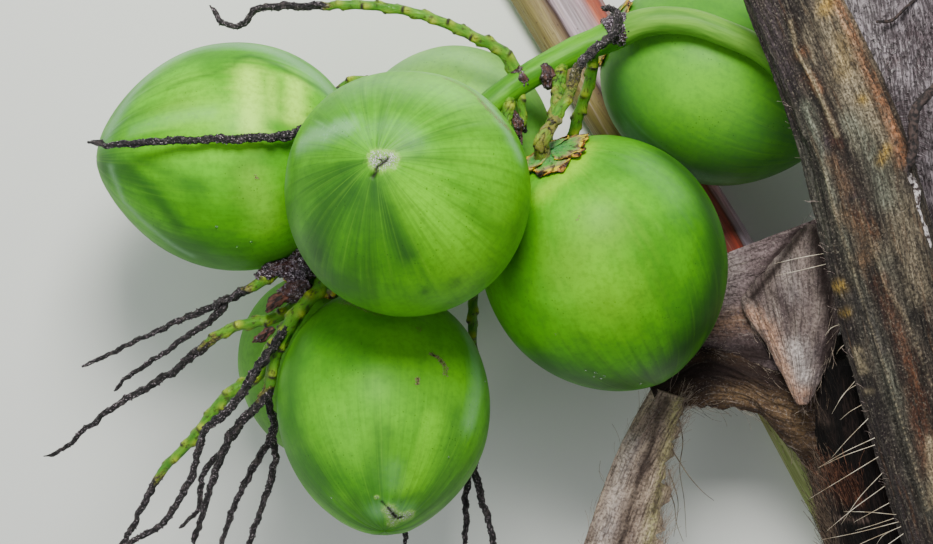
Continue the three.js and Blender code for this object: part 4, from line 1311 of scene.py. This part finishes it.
def crust_skin():
    """Wet purple black grains with painted glints on their tops, or dry red brown bract where papery says
    so.
    """
    material, tree, shader, grain, place = new_material("flower_crust")
    traits = carried(tree, ("granule", "papery"))
    grit = mask(tree, "streaks", place, across=900, along=900, detail=3, low=0.4, high=0.62)
    packed = maths(tree, "MULTIPLY_ADD", grit, 0.5, traits["granule"])
    # The palest stop is a painted glint on the tops of the wet grains.
    wet = ramp(tree, packed, [(0.35, "0a0608"), (0.7, "2d1f27"), (0.95, "5c4c58"), (1.2, "b5a9b4")])
    ruddy = mask(tree, "streaks", place, across=55, along=55, low=0.48, high=0.6)
    wet = lay(tree, wet, ruddy, 0.7, "34130f")
    veins = mask(tree, "streaks", grain, across=500, along=60, detail=4, low=0.42, high=0.6)
    bract = blend(tree, veins, screen("1c0e0b"), screen("6b4032"))
    feed(tree, shader, {
        "Base Color": blend(tree, traits["papery"], wet, bract),
        "Roughness": maths(tree, "MULTIPLY_ADD", traits["papery"], 0.4, 0.24),
        "Specular IOR Level": 0.5,
    })
    bump(tree, shader, packed, 0.8, 0.0009)
    return material


crust_look = crust_skin()
wet_look = plain_fibre("wet_grain_skin", "120a0e", "857884", rough=0.14, scale=420)
crusts, wet_grains = [], []
for seed, (key, (points, radii, papery)) in enumerate(CRUSTS.items()):
    rings, grain, out = tube(points, radii, columns=40, step=1.0)
    grain = grain + (seed * 90.0, 0, 0)
    granule = granules(grain, 2.6)
    form = 1.7 * ripple(grain, 7, 9, 3) + 2.0 * granule * (1 - 0.7 * papery)
    form = form + 2.6 * papery * ripple(grain, 3.5, 9, 3)
    flat = np.full(granule.shape, papery)
    crusts.append(skin(f"crust_{key}", push(rings, form), grain=grain * MM, papery=flat, wet=1 - flat,
                       granule=np.clip(granule + GRAINS_SHOWN, 0, 1)))
    wet_grains.append(grow(
        f"wet_grains_{key}", crusts[-1], GRAINS, density=90000.0, size=0.0011, seed=GRAIN_SEED + 30 + seed,
        where="wet", material=wet_look,
    ))
settle(join("flower_crusts", crusts), crust_look, "spikelet")
settle(join("wet_flower_grains", wet_grains), None, "spikelet")

# Coconuts: seven green nuts, husk under a taut waxy skin. Each is a ball drawn out towards
# its withered tip, with three soft ridges, streaked along its meridians. Marks lie on paths of
# places, each given by how far it is towards the tip, -1 to 1, and its turn round the nut.
NUT_TAPER = 0.07
TIP_DRAW = 0.07
RIDGE = 0.025
END_GAP = 0.002
# Usual colour of a nut's pale patches, mostly painted light.
PAINTED_LIGHT_AND_YELLOW = "86e400"

# A nut whose place has no height rests on the ground. facet gives the turn and the height of
# the ridges near its tip. A nut may also give the colour of its pale patches, which are mostly
# painted light and painted highlights, with the real yellow near some stem ends.
NUTS = {
    "front": {
        "at": (-49, 65, 338), "tip": (-0.185, 0.2, 0.96), "length": 208, "width": 198, "turn": 0.4,
        "colours": ("5cb40a", "469208", "326a14", "26501e"), "facet": (1.55, 1.6),
        "marks": {
            "shade": [
                ([(0.976, 1.78), (0.921, 1.59), (0.819, 1.54), (0.687, 1.49)], 11, 1.0),
                ([(0.99, -0.4), (0.968, -0.36), (0.952, -0.07)], 9, 0.45),
                ([(0.316, 1.47)], 5, 0.6), ([(0.242, 1.22)], 6, 0.5),
                ([(0.933, 2.6), (0.784, 2.64), (0.5, 2.56)], 26, 1.0),
                ([(0.3, 2.4), (0.2, 2.9)], 40, 0.65),
            ],
            "pale_patch": [
                ([(0.9, 0.9), (0.6, 1.0), (0.25, 1.1)], 26, 0.75),
                ([(0.66, 0.1), (0.4, 0.4)], 30, 0.4),
                ([(0.46, -1.1), (0.5, -0.7)], 34, 0.45),
            ],
            "bloom_and_sheen": [
                ([(0.6, -2.62), (0.831, -2.44), (0.912, -2.12)], 9, 0.9),
                ([(0.961, -1.81), (0.945, -1.12), (0.942, -0.38)], 11, 0.3),
                ([(0.55, -1.7), (0.6, -1.2), (0.55, -0.8)], 24, 0.35),
                ([(0.06, -0.95), (0.128, -0.72), (0.247, -0.52), (0.268, -0.34), (0.242, -0.17),
                  (0.16, -0.06)], 8, 0.9),
                ([(0.3, -2.9), (0.2, -2.0), (0.15, -1.2), (0.1, -0.7)], 14, 0.55),
            ],
            "scar": [
                ([(0.3, -0.99), (0.29, -0.84), (0.285, -0.68)], 4, 0.47),
                ([(0.32, -0.6), (0.34, -0.5), (0.3, -0.38), (0.18, -0.29)], 4.5, 0.52),
            ],
            "felt": [([(0.994, 0.22), (0.998, 0.27), (1.0, 1.37)], 6, 1.0)],
            "slit": [
                ([(0.996, 0.15), (0.998, 0.8), (0.998, 1.63), (0.996, 1.83)], 1.3, 1.0),
                ([(0.995, 1.73), (0.99, 1.98)], 2.1, 0.9), ([(0.998, 0.8), (0.9995, 0.3)], 1.0, 0.9),
            ],
        },
    },
    "left": {
        "at": (-205, 99, 200), "tip": (-1, -0.01, -0.02), "length": 226, "width": 196, "turn": 1.2,
        "painted_light_and_yellow": "c4ff50",
        "colours": ("60be00", "489a06", "347612", "285c1c"), "facet": (1.7, 1.4),
        "marks": {
            "shade": [
                ([(0.93, 1.7), (0.746, 1.75), (0.472, 2.05), (0.328, 2.3)], 11, 0.95),
                ([(0.709, 1.62), (0.404, 1.78), (0.11, 1.9)], 8, 0.6),
                ([(0.345, 2.69), (-0.052, 2.75), (-0.4, 2.93)], 30, 0.7),
                ([(-0.137, 1.76), (-0.225, 1.69), (-0.337, 1.63), (-0.549, 1.58)], 7, 0.4),
                ([(0.395, 0.91), (0.074, 0.86), (-0.114, 0.75), (-0.132, 0.64)], 2.0, 0.55),
                ([(-0.132, 0.64), (-0.221, 0.57), (-0.37, 0.62), (-0.515, 0.7), (-0.657, 0.71),
                  (-0.784, 0.69)], 3.4, 0.75),
            ],
            "pale_patch": [
                ([(-0.238, 0.87), (-0.264, 1.14), (-0.268, 1.37)], 14, 1.0),
                ([(-0.395, 0.87), (-0.408, 1.22)], 9, 0.6), ([(-0.572, 0.85), (-0.575, 1.22)], 12, 1.0),
                ([(-0.251, 1.79), (-0.328, 2.02), (-0.37, 2.28)], 16, 0.25),
                ([(0.2, 1.2), (-0.1, 1.3)], 30, 0.25),
            ],
            "bloom_and_sheen": [
                ([(0.9, 1.0), (0.758, 0.55), (0.534, 0.33), (0.19, 0.27), (-0.105, 0.3),
                  (-0.4, 0.37), (-0.646, 0.48), (-0.816, 0.55)], 12, 1.0),
                ([(0.687, 1.3), (0.35, 1.28), (0.025, 1.26)], 6, 0.4),
                ([(0.862, 1.84), (0.784, 2.35), (0.575, 2.56), (0.273, 2.79)], 5, 0.7),
            ],
            "scar": [([(-0.303, 1.82)], 2.2, 0.8)],
        },
    },
    "lower": {
        "at": (-71, -119, 225), "tip": (0.03, -0.86, 0.5), "length": 220, "width": 181, "turn": 0.2,
        "colours": ("62b418", "489614", "38741c", "2c5824"), "facet": (-1.3, 2.2),
        "marks": {
            "shade": [
                ([(0.93, -1.95), (0.867, -1.87), (0.7, -1.72), (0.55, -1.66)], 11, 0.55),
                ([(0.7, -2.7), (0.333, -2.76), (-0.047, -2.65), (-0.4, -2.56)], 17, 0.65),
                ([(0.99, -2.6), (0.94, -2.6), (0.9, -2.3)], 10, 0.6),
                ([(0.91, -1.2), (0.87, -0.85)], 7, 0.6),
                ([(0.9, -0.6), (0.6, -0.75), (0.3, -0.85)], 12, 0.6),
            ],
            "pale_patch": [
                ([(0.858, -1.17), (0.615, -1.14), (0.416, -1.14)], 11, 0.6),
                ([(0.6, -1.5), (0.3, -1.5), (-0.1, -1.5)], 26, 0.25),
            ],
            "bloom_and_sheen": [
                ([(-0.395, -0.6), (-0.047, -0.58), (0.307, -0.62)], 10, 0.7),
                ([(0.84, -1.5), (0.76, -1.52)], 8, 0.25),
                ([(0.95, -0.9), (0.96, -1.9)], 8, 0.6),
            ],
            "scar": [
                ([(-0.11, -1.2), (-0.092, -1.12), (-0.03, -1.04), (0.03, -1.04)], 2.0, 1.0),
                ([(0.115, -1.33), (0.16, -1.33)], 1.8, 1.0),
                ([(-0.316, -1.3)], 3, 0.5), ([(-0.673, -2.17), (-0.448, -1.68)], 5, 0.35),
            ],
            "felt": [
                ([(0.95, -1.5), (0.97, -1.3), (0.968, -0.9), (0.955, -0.7)], 5, 0.7),
                ([(0.986, -1.1)], 5, 0.55), ([(0.906, -1.83)], 2, 0.6),
            ],
            "slit": [
                ([(0.925, -1.72), (0.94, -1.62)], 0.9, 0.9), ([(0.945, -1.55), (0.958, -1.42)], 1.3, 1.0),
                ([(0.962, -1.36), (0.972, -1.15)], 2.1, 1.0), ([(0.974, -1.01), (0.968, -0.9)], 1.2, 1.0),
            ],
        },
    },
    "right": {
        "at": (120, 4, 214), "tip": (0.42, -0.84, -0.34), "length": 228, "width": 207, "turn": 2.1,
        "colours": ("58b000", "42900a", "306816", "22481c"), "facet": (0.3, 1.0), "painted_light_and_yellow": "b0e808",
        "marks": {
            "shade": [
                ([(-0.6, 1.7), (-0.324, 1.56), (-0.056, 1.38), (0.247, 1.13), (0.549, 0.88),
                  (0.74, 0.45)], 26, 1.0),
                ([(0.375, -0.75), (0.706, -0.5), (0.8, 0.42)], 26, 0.8),
            ],
            "pale_patch": [
                ([(-0.965, 1.5), (-0.96, 0.9), (-0.935, 0.45), (-0.92, 0.1), (-0.89, -0.2)], 10, 0.6),
                ([(-0.6, 0.3), (-0.424, 0.0), (-0.128, 0.15)], 34, 0.25),
            ],
            "bloom_and_sheen": [([(-0.7, 1.3), (-0.5, 1.2)], 22, 0.3)],
            "scar": [([(-0.7, 0.18)], 1.6, 0.9), ([(0.011, -0.4)], 2, 0.4)],
        },
    },
    "upper": {
        "at": (224, 168, 124), "tip": (0.885, -0.455, -0.1), "length": 214, "width": 180, "turn": 0.9,
        "colours": ("5aa426", "488c26", "3c742c", "345c38"), "facet": (1.1, 1.0),
        "marks": {
            "shade": [
                ([(-0.789, 0.4), (-0.633, 0.3), (-0.428, 0.2), (0.0, 0.1), (0.4, 0.1)], 26, 0.8),
                ([(0.5, 1.1), (0.7, 1.3)], 36, 0.25), ([(-0.62, 0.42), (-0.52, 0.4)], 5, 0.5),
            ],
            "pale_patch": [([(-0.98, 0.6), (-0.93, 1.2)], 12, 0.8), ([(-0.199, 1.08)], 40, 0.4)],
            "bloom_and_sheen": [([(-0.5, 0.1), (-0.294, 0.12), (0.083, 0.12), (0.436, 0.14)], 12, 0.8)],
        },
    },
    "behind": {
        "at": (-10, 114, None), "tip": (0.2, 0.1, -0.97), "length": 196, "width": 180, "turn": 1.7,
        "colours": ("84c848", "68ac38", "548c38", "3c6636"), "facet": (1, 1),
        "marks": {"bloom_and_sheen": [([(-0.8, 0.5), (-0.5, 1.4), (-0.4, 2.4), (-0.6, 3.4)], 26, 0.5)]},
    },
    "low": {
        "at": (-142, -86, None), "tip": (-0.12, -0.94, -0.32), "length": 172, "width": 136, "turn": 0.6,
        "colours": ("72b83a", "5a9c2c", "447c26", "2e5024"), "facet": (1, 1),
        "marks": {"bloom_and_sheen": [([(-0.5, 0.5), (0.0, 0.7), (0.5, 0.9)], 20, 0.4)]},
    },
}
# The shade marks are mostly painted shade: the sides turned from the light, the valleys between the ridges,
# and the shadows of the twig and of the nuts beside. A few small dark scuffs among them are real.
NUT_LAYERS = ("shade", "pale_patch", "bloom_and_sheen", "scar", "felt", "slit")
PLAIN_TIP = {"felt": [([(1, 0)], 9, 0.8)], "slit": [([(0.999, 0.5), (0.999, -2.6)], 1.2, 1.0)]}


def nut_points(nut, to_tip, turn, lift=0.0):
    """Places on a nut's skin, from how far they are towards its tip, -1 to 1, and their turn."""
    ridge = RIDGE * np.maximum(0, to_tip + 0.3) * np.cos(3 * turn + nut["turn"])
    girth = (nut["width"] / 2 + lift) * (1 - NUT_TAPER * to_tip + ridge)
    drawn = np.where(to_tip > 0, (to_tip + TIP_DRAW * to_tip ** 9) / (1 + TIP_DRAW), to_tip)
    reach = nut["length"] / 2 * drawn + lift * to_tip
    ring = np.sqrt(np.maximum(0, 1 - to_tip ** 2))
    local = np.stack([ring * np.cos(turn) * girth, reach, ring * np.sin(turn) * girth], axis=-1)
    upright = Vector((0, 1, 0)).rotation_difference(Vector(nut["tip"]).normalized()).to_matrix()
    places = local @ np.array(upright).T
    height = nut["at"][2] if nut["at"][2] is not None else nut["rest"]
    return places + (nut["at"][0], nut["at"][1], height)


def nut_rings(rows, columns):
    """How far each ring of a nut is towards its tip, closer together there, and each turn."""
    share = np.linspace(END_GAP, 1 - END_GAP, rows)
    polar = math.pi * (0.5 * share + 0.5 * np.sin(math.pi * share / 2))
    to_tip = np.broadcast_to(-np.cos(polar)[:, None], (rows, columns))
    turn = np.broadcast_to(np.linspace(0, 2 * math.pi, columns, endpoint=False), (rows, columns))
    return to_tip, turn


def nut_skin(key, nut):
    """Waxy green that darkens in streaks towards the tip, with corky scars, a pale waxy coat, and painted
    sheen, shade and light.
    """
    pale, middle, deep, dark = [screen(code) for code in nut["colours"]]
    material, tree, shader, grain, place = new_material(f"nut_skin_{key}")
    layers = carried(tree, NUT_LAYERS)
    parts = add(tree, "ShaderNodeSeparateXYZ", {0: grain})
    near_tip = add(tree, "ShaderNodeMapRange", {
        "Value": parts.outputs[2], "From Min": -0.3, "From Max": 0.95, "To Min": 0.1, "To Max": 0.75,
    }).outputs[0]
    cloudy = mask(tree, "streaks", place, across=13, along=13, detail=3, low=0.36, high=0.64)
    shade = blend(tree, cloudy, middle, pale)
    wide = mask(tree, "streaks", grain, across=2.6, along=0.6, detail=3, low=0.45, high=0.68)
    shade = blend(tree, maths(tree, "MULTIPLY", wide, near_tip), shade, deep)
    # Pale patches: mostly painted light and painted highlights, such as the sunlit bands on the left nut,
    # with the real yellow near the stem ends of the right and upper nuts.
    shade = lay(tree, shade, layers["pale_patch"], 0.8, nut.get("painted_light_and_yellow", PAINTED_LIGHT_AND_YELLOW))
    # Painted shade and painted shadows, with a few real dark scuffs.
    shade = blend(tree, maths(tree, "MULTIPLY", layers["shade"], 0.85), shade, dark)
    thin = mask(tree, "streaks", grain, across=22, along=1.6, detail=3, low=0.42, high=0.76)
    thin_here = maths(tree, "MULTIPLY", thin, maths(tree, "MULTIPLY", near_tip, 0.55))
    shade = blend(tree, thin_here, shade, dark)
    light = mask(tree, "streaks", grain, across=24, along=1.4, detail=2, low=0.5, high=0.85)
    light_here = maths(tree, "MULTIPLY", light, maths(tree, "MULTIPLY", near_tip, 0.34))
    shade = blend(tree, light_here, shade, screen("8cd430"))
    mottle = mask(tree, "streaks", place, across=210, along=210, detail=4, low=0.4, high=0.7)
    shade = blend(tree, maths(tree, "MULTIPLY", mottle, 0.22), shade, dark)
    # Pale waxy bloom, partly real and partly painted sheen in the bands along the nuts' outlines.
    dust = mask(tree, "streaks", place, across=420, along=420, detail=3, low=0.52, high=0.7)
    wax_and_sheen = maths(tree, "MULTIPLY_ADD", dust, 0.3, 0.6)
    wax_and_sheen = maths(tree, "MULTIPLY", wax_and_sheen, layers["bloom_and_sheen"])
    shade = blend(tree, wax_and_sheen, shade, screen("84b886"))
    pores = mask(tree, "speckles", place, scale=430, size=0.34, share=0.16)
    patchy = mask(tree, "streaks", place, across=20, along=20, detail=3, low=0.48, high=0.62)
    pores = maths(tree, "MULTIPLY", pores, patchy)
    shade = lay(tree, shade, pores, 0.6, "20360f")
    grit = mask(tree, "streaks", place, across=900, along=900, detail=3, low=0.4, high=0.6)
    corky = maths(tree, "MULTIPLY_ADD", grit, 0.5, maths(tree, "SUBTRACT", layers["scar"], 0.35))
    corky = progress(tree, corky, 0.3, 0.42)
    shade = blend(tree, corky, shade, ramp(tree, grit, [(0.1, "2e2414"), (0.5, "54492e"), (0.9, "868058")]))
    halo = progress(tree, layers["felt"], 0.02, 0.3, interpolation_type="SMOOTHSTEP")
    shade = lay(tree, shade, halo, 0.5, "9ccc50")
    felt = maths(tree, "MULTIPLY", maths(tree, "ADD", grit, 0.4), layers["felt"])
    felt = progress(tree, felt, 0.2, 1.0)
    shade = blend(tree, felt, shade, ramp(tree, grit, [(0.1, "5c6154"), (0.6, "8f9088"), (0.95, "c8c8c4")]))
    shade = blend(tree, layers["slit"], shade, screen("17100e"))
    feed(tree, shader, {"Base Color": shade})
    rough = maths(tree, "MULTIPLY_ADD", cloudy, -0.06, 0.5)
    feed(tree, shader, {
        "Roughness": maths(tree, "MULTIPLY_ADD", felt, 0.35, rough),
        "Specular IOR Level": 0.16,
    })
    relief = maths(tree, "MULTIPLY_ADD", corky, 1.2, maths(tree, "MULTIPLY", thin_here, 0.3))
    bump(tree, shader, maths(tree, "MULTIPLY_ADD", felt, grit, relief), 0.6, 0.0008)
    return material


nuts = {}
for key, nut in NUTS.items():
    to_tip, turn = nut_rings(rows=200, columns=190)
    nut["rest"] = 0
    plain = nut_points(nut, to_tip, turn)
    meridian = np.stack([np.cos(turn), np.sin(turn), to_tip], axis=-1)
    facet_turn, facet_height = nut["facet"]
    facet = np.abs(np.cos(1.5 * (turn - facet_turn))) ** 3
    slope = np.clip(to_tip, 0, 1) ** 1.5 * np.clip((1 - to_tip ** 2) * 8, 0, 1)
    traits = {"grain": meridian}
    for layer in NUT_LAYERS:
        ragged = 0.12 * ripple(plain, 14, 14)
        if layer in ("scar", "felt", "slit"):
            ragged = ragged + 0.25 * ripple(plain, 2.2, 2.2, 3)
        else:
            ragged = ragged + 0.4 * ripple(meridian, 0.05, 0.9, 3)
        strokes = nut["marks"].get(layer, PLAIN_TIP.get(layer, []))
        traits[layer] = stroke(plain, strokes, ragged, detail=20, locate=partial(nut_points, nut))
    ribs = 0.25 * ripple(meridian, 0.07, 0.7) * np.clip(to_tip, 0, 1) ** 2
    waves = 0.4 * ripple(meridian, 0.5, 0.5) + ribs
    felt = traits["felt"] * (0.5 + 0.35 * ripple(plain, 1.7, 1.7, 2))
    form = push(plain, waves + facet_height * (facet - 0.5) * slope + felt - 1.5 * traits["slit"])
    if nut["at"][2] is None:
        nut["rest"] = -form[..., 2].min()
        form = form + (0, 0, nut["rest"])
    nuts[key] = skin(f"coconut_{key}_husk", form, **traits)
    settle(nuts[key], nut_skin(key, nut), "nut_skin", f"coconut_{key}")

# Calyxes: six broad, leathery scales that overlap into a cap on each nut's stem end, green in
# the middle, papery brown towards their rims, which are orange, curled and scalloped.
SCALE_COUNT = 6
SCALE_REACH = 30
SCALE_THICKNESS = 1.6
SCALE_BREADTH = 0.86
STEM_ROOM = 3
FREE_GAP = 0.3


def calyx_scale(nut, middle, reach, half, lift, seed):
    """Rings of one scale that lies on a nut, from the stem outwards, its grain and its rim."""
    rows, columns = 40, 34
    out = np.broadcast_to(np.linspace(0, 1, rows)[:, None], (rows, columns))
    over = np.broadcast_to(np.linspace(-1, 1, columns), (rows, columns))
    grain = np.stack([over * 20, np.full(out.shape, seed * 31.0), out * reach], axis=-1)
    rough = ripple(grain, 7, 7, 3)
    wavy = ripple(grain * (1, 1, 0), 8, 8, 2)
    distance = STEM_ROOM + reach * out * (1 - 0.24 * np.abs(over) ** 3 + 0.16 * wavy * out)
    to_tip = -np.cos(distance / (nut["width"] / 2))
    turn = middle + over * half * (1 - 0.35 * out ** 5 + 0.1 * rough)
    fold = (1.7 * ripple(grain, 6, 11, 2) + 0.5 * ripple(grain, 2, 4, 2)) * out
    curl = 1.4 + lift * 1.5 + 1.6 * out ** 7 + fold + 0.6 * np.abs(over) ** 4
    facing = unit(nut_points(nut, to_tip, turn, 0) - nut_points(nut, to_tip, turn, -1))
    base = nut_points(nut, to_tip, turn)
    half_thick = SCALE_THICKNESS / 2 * (1.1 - 0.9 * out ** 4) * (1 - 0.8 * np.abs(over) ** 6)
    upper = base + facing * (curl + half_thick)[..., None]
    under = base + facing * np.maximum(FREE_GAP, curl - half_thick)[..., None]
    rings = np.concatenate([upper, under[:, ::-1]], axis=1)
    rim = np.maximum(out, 0.55 + 0.45 * np.abs(over) ** 5 * out) - 0.35 * (1 - out) + 0.04 * rough
    grain, rim = [np.concatenate([trait, trait[:, ::-1]], axis=1) for trait in (grain, rim)]
    return rings, grain, rim


def calyx_skin():
    """Green scale that dries to papery brown, then yellow orange with a dark brown edge."""
    material, tree, shader, grain, place = new_material("calyx_scale_skin")
    rim = carried(tree, ("rim",))["rim"]
    uneven = mask(tree, "streaks", place, across=170, along=170, detail=4, low=0.3, high=0.7)
    reach = maths(tree, "MULTIPLY_ADD", uneven, 0.16, maths(tree, "SUBTRACT", rim, 0.13))
    shade = ramp(tree, reach, [
        (0.2, "2f8a3c"), (0.42, "58a034"), (0.53, "8a9a4c"), (0.61, "8f7a58"), (0.67, "a8983c"),
        (0.72, "d0c400"), (0.86, "dcc000"), (0.92, "b87410"), (0.97, "5a2c10"), (1.0, "3a1c0e"),
    ])
    cells = mask(tree, "streaks", place, across=420, along=420, detail=4, low=0.5, high=0.6)
    shade = lay(tree, shade, cells, 0.3, "a8977c")
    veins = mask(tree, "streaks", grain, across=190, along=110, detail=5, low=0.55, high=0.6)
    shade = lay(tree, shade, veins, 0.8, "2c1d14")
    feed(tree, shader, {"Base Color": shade, "Roughness": 0.6})
    bump(tree, shader, maths(tree, "SUBTRACT", cells, veins), 0.7, 0.0008)
    return material


calyx_look = calyx_skin()
dice = np.random.default_rng(5)
for key, nut in NUTS.items():
    scales = []
    for index in range(SCALE_COUNT):
        lift = index % 2
        middle = index * 2 * math.pi / SCALE_COUNT + dice.uniform(-0.12, 0.12)
        reach = SCALE_REACH * dice.uniform(0.92, 1.06) - 2 * lift
        seed = index + dice.uniform(0, 9)
        rings, grain, rim = calyx_scale(nut, middle, reach, SCALE_BREADTH, lift, seed)
        scales.append(skin(f"calyx_{key}_scale_{index}", rings, grain=grain * MM, rim=rim))
    settle(join(f"calyx_{key}_scales", scales), calyx_look, "calyx", f"calyx_{key}")

# Water drops: a few drops of rain left on the nuts, clear and slightly flattened. Each sits a
# little way into the skin that holds it.
WATER_DROPS = {
    "left": [(0.011, 2.27), (-0.123, 2.51), (-0.229, 2.46)],
    "lower": [(0.615, -0.75), (0.831, -2.85), (0.86, -1.44), (-0.114, -0.42), (0.906, -1.81)],
    "right": [(0.432, -0.38), (0.527, -0.37), (0.546, -0.27), (0.48, -0.31), (0.57, -0.33), (0.803, -0.06)],
}
DROP_RADIUS = 1.4
DROP_PROFILE = np.array((0.3, 1, 0.85, 0.2))


def water():
    """Clear water, with a faint ripple in it."""
    material, tree, shader, _, place = new_material("water_drop")
    faint = mask(tree, "streaks", place, across=600, along=600, low=0.3, high=0.7)
    feed(tree, shader, {
        "Base Color": blend(tree, faint, screen("d4e8cc"), screen("f4fff0")),
        "Roughness": 0.03,
        "IOR": 1.33,
        "Transmission Weight": 0.95,
    })
    return material


drops = []
for key, places in WATER_DROPS.items():
    for to_tip, turn in np.array(places):
        facing = unit(nut_points(NUTS[key], to_tip, turn, 1) - nut_points(NUTS[key], to_tip, turn))
        middle = nut_points(NUTS[key], to_tip, turn) + facing * 0.35
        radius = DROP_RADIUS * dice.uniform(0.6, 1.1)
        points = [middle - facing * radius * 0.5, middle + facing * radius * 0.62]
        rings, grain, out = tube(points, radius * DROP_PROFILE, columns=12, step=radius / 5)
        drops.append(skin(f"drop_{key}_{len(drops)}", rings, grain=grain * MM))
settle(join("water_drops", drops), water(), "nut_skin")

# Bare twigs: an old flower twig, stripped, black above and bleached below, that lies down the
# right side of the front leaf stalk, and a thin one caught on the leaf base above it.
BARE_TWIG = {
    "points": [
        (399, 164, 262), (388, 152, 274), (371, 134, 282), (368, 99, 283), (362, 82, 285),
        (371, 70, 281), (372, 53, 280), (382, 26, 273), (385, -23, 266),
    ],
    "radii": [4, 4, 4.5, 4, 3.5, 3, 3, 3, 2.5],
}


def bleached_twig():
    """Dark at its upper end, mottled chalky white further down."""
    material, tree, shader, grain, _ = new_material("bleached_twig_skin")
    parts = add(tree, "ShaderNodeSeparateXYZ", {0: grain})
    down = progress(tree, parts.outputs[2], 0.1, 0.112)
    chalk = mask(tree, "streaks", grain, across=300, along=260, detail=4, low=0.42, high=0.58)
    white = blend(tree, chalk, screen("3b302e"), screen("cdc5c3"))
    dark = blend(tree, chalk, screen("120d0d"), screen("40332f"))
    feed(tree, shader, {"Base Color": blend(tree, down, dark, white), "Roughness": 0.85})
    bump(tree, shader, chalk, 0.6, 0.0007)
    return material


rings, grain, out = tube(BARE_TWIG["points"], BARE_TWIG["radii"], columns=20, step=1.2)
rings = push(rings, 1.3 * ripple(grain, 3.5, 6, 3))
bare_twig = skin("bare_twig_bark", rings, grain=grain * MM)
settle(bare_twig, bleached_twig(), "bare_twig", "bare_twig")
THIN_TWIG = [(347, 212, 233), (360, 213, 233), (369, 221, 234), (380, 231, 233), (388, 236, 231)]
rings, grain, out = tube(THIN_TWIG, [1.1, 1.5, 1.3, 1.2, 0.8], columns=10, step=1.5)
rings = push(rings, 0.4 * ripple(grain, 2.5, 5, 2))
settle(skin("thin_bare_twig", rings, grain=grain * MM), bleached_twig(), "bare_twig")

# Stage: a plain pale floor under the piece, soft light from the top and a weak one from the
# lower left, and a camera that looks straight down on it.
CAMERA_HEIGHT = 2.208
LENS = 90
SENSOR = 36
FLOOR_SIZE = 14
AIM = Vector((0, 0, 0.2))

bpy.ops.mesh.primitive_plane_add(size=FLOOR_SIZE)
floor = bpy.context.object
floor.name = "floor"
floor_look, tree, shader, grain, place = new_material("floor")
feed(tree, shader, {"Base Color": screen("e4e6e0"), "Roughness": 0.9})
floor.data.materials.append(floor_look)


def lamp(name, place, size, power, colour):
    """Square soft light, aimed at the middle of the piece."""
    light = bpy.data.lights.new(name, "AREA")
    light.shape = "SQUARE"
    light.size = size
    light.energy = power
    light.color = colour
    holder = bpy.data.objects.new(name, light)
    holder.location = place
    holder.rotation_euler = (AIM - Vector(place)).to_track_quat("-Z", "Y").to_euler()
    bpy.context.scene.collection.objects.link(holder)


lamp("key_light", (-0.1, 0.95, 1.55), size=0.6, power=44, colour=(1, 0.985, 0.95))
lamp("fill_light", (-1.5, -0.5, 1.9), size=1.6, power=12, colour=(0.93, 0.97, 1))
world = bpy.data.worlds.new("studio")
world.use_nodes = True
sky = {"Color": (0.93, 0.96, 1, 1), "Strength": 0.42}
feed(world.node_tree, world.node_tree.nodes["Background"], sky)
bpy.context.scene.world = world

camera = bpy.data.objects.new("camera", bpy.data.cameras.new("camera"))
camera.data.lens = LENS
camera.data.sensor_width = SENSOR
camera.data.sensor_fit = "HORIZONTAL"
camera.location = (-LAYOUT_CENTRE[0] * MM, -LAYOUT_CENTRE[1] * MM, CAMERA_HEIGHT)
bpy.context.scene.collection.objects.link(camera)
bpy.context.scene.camera = camera
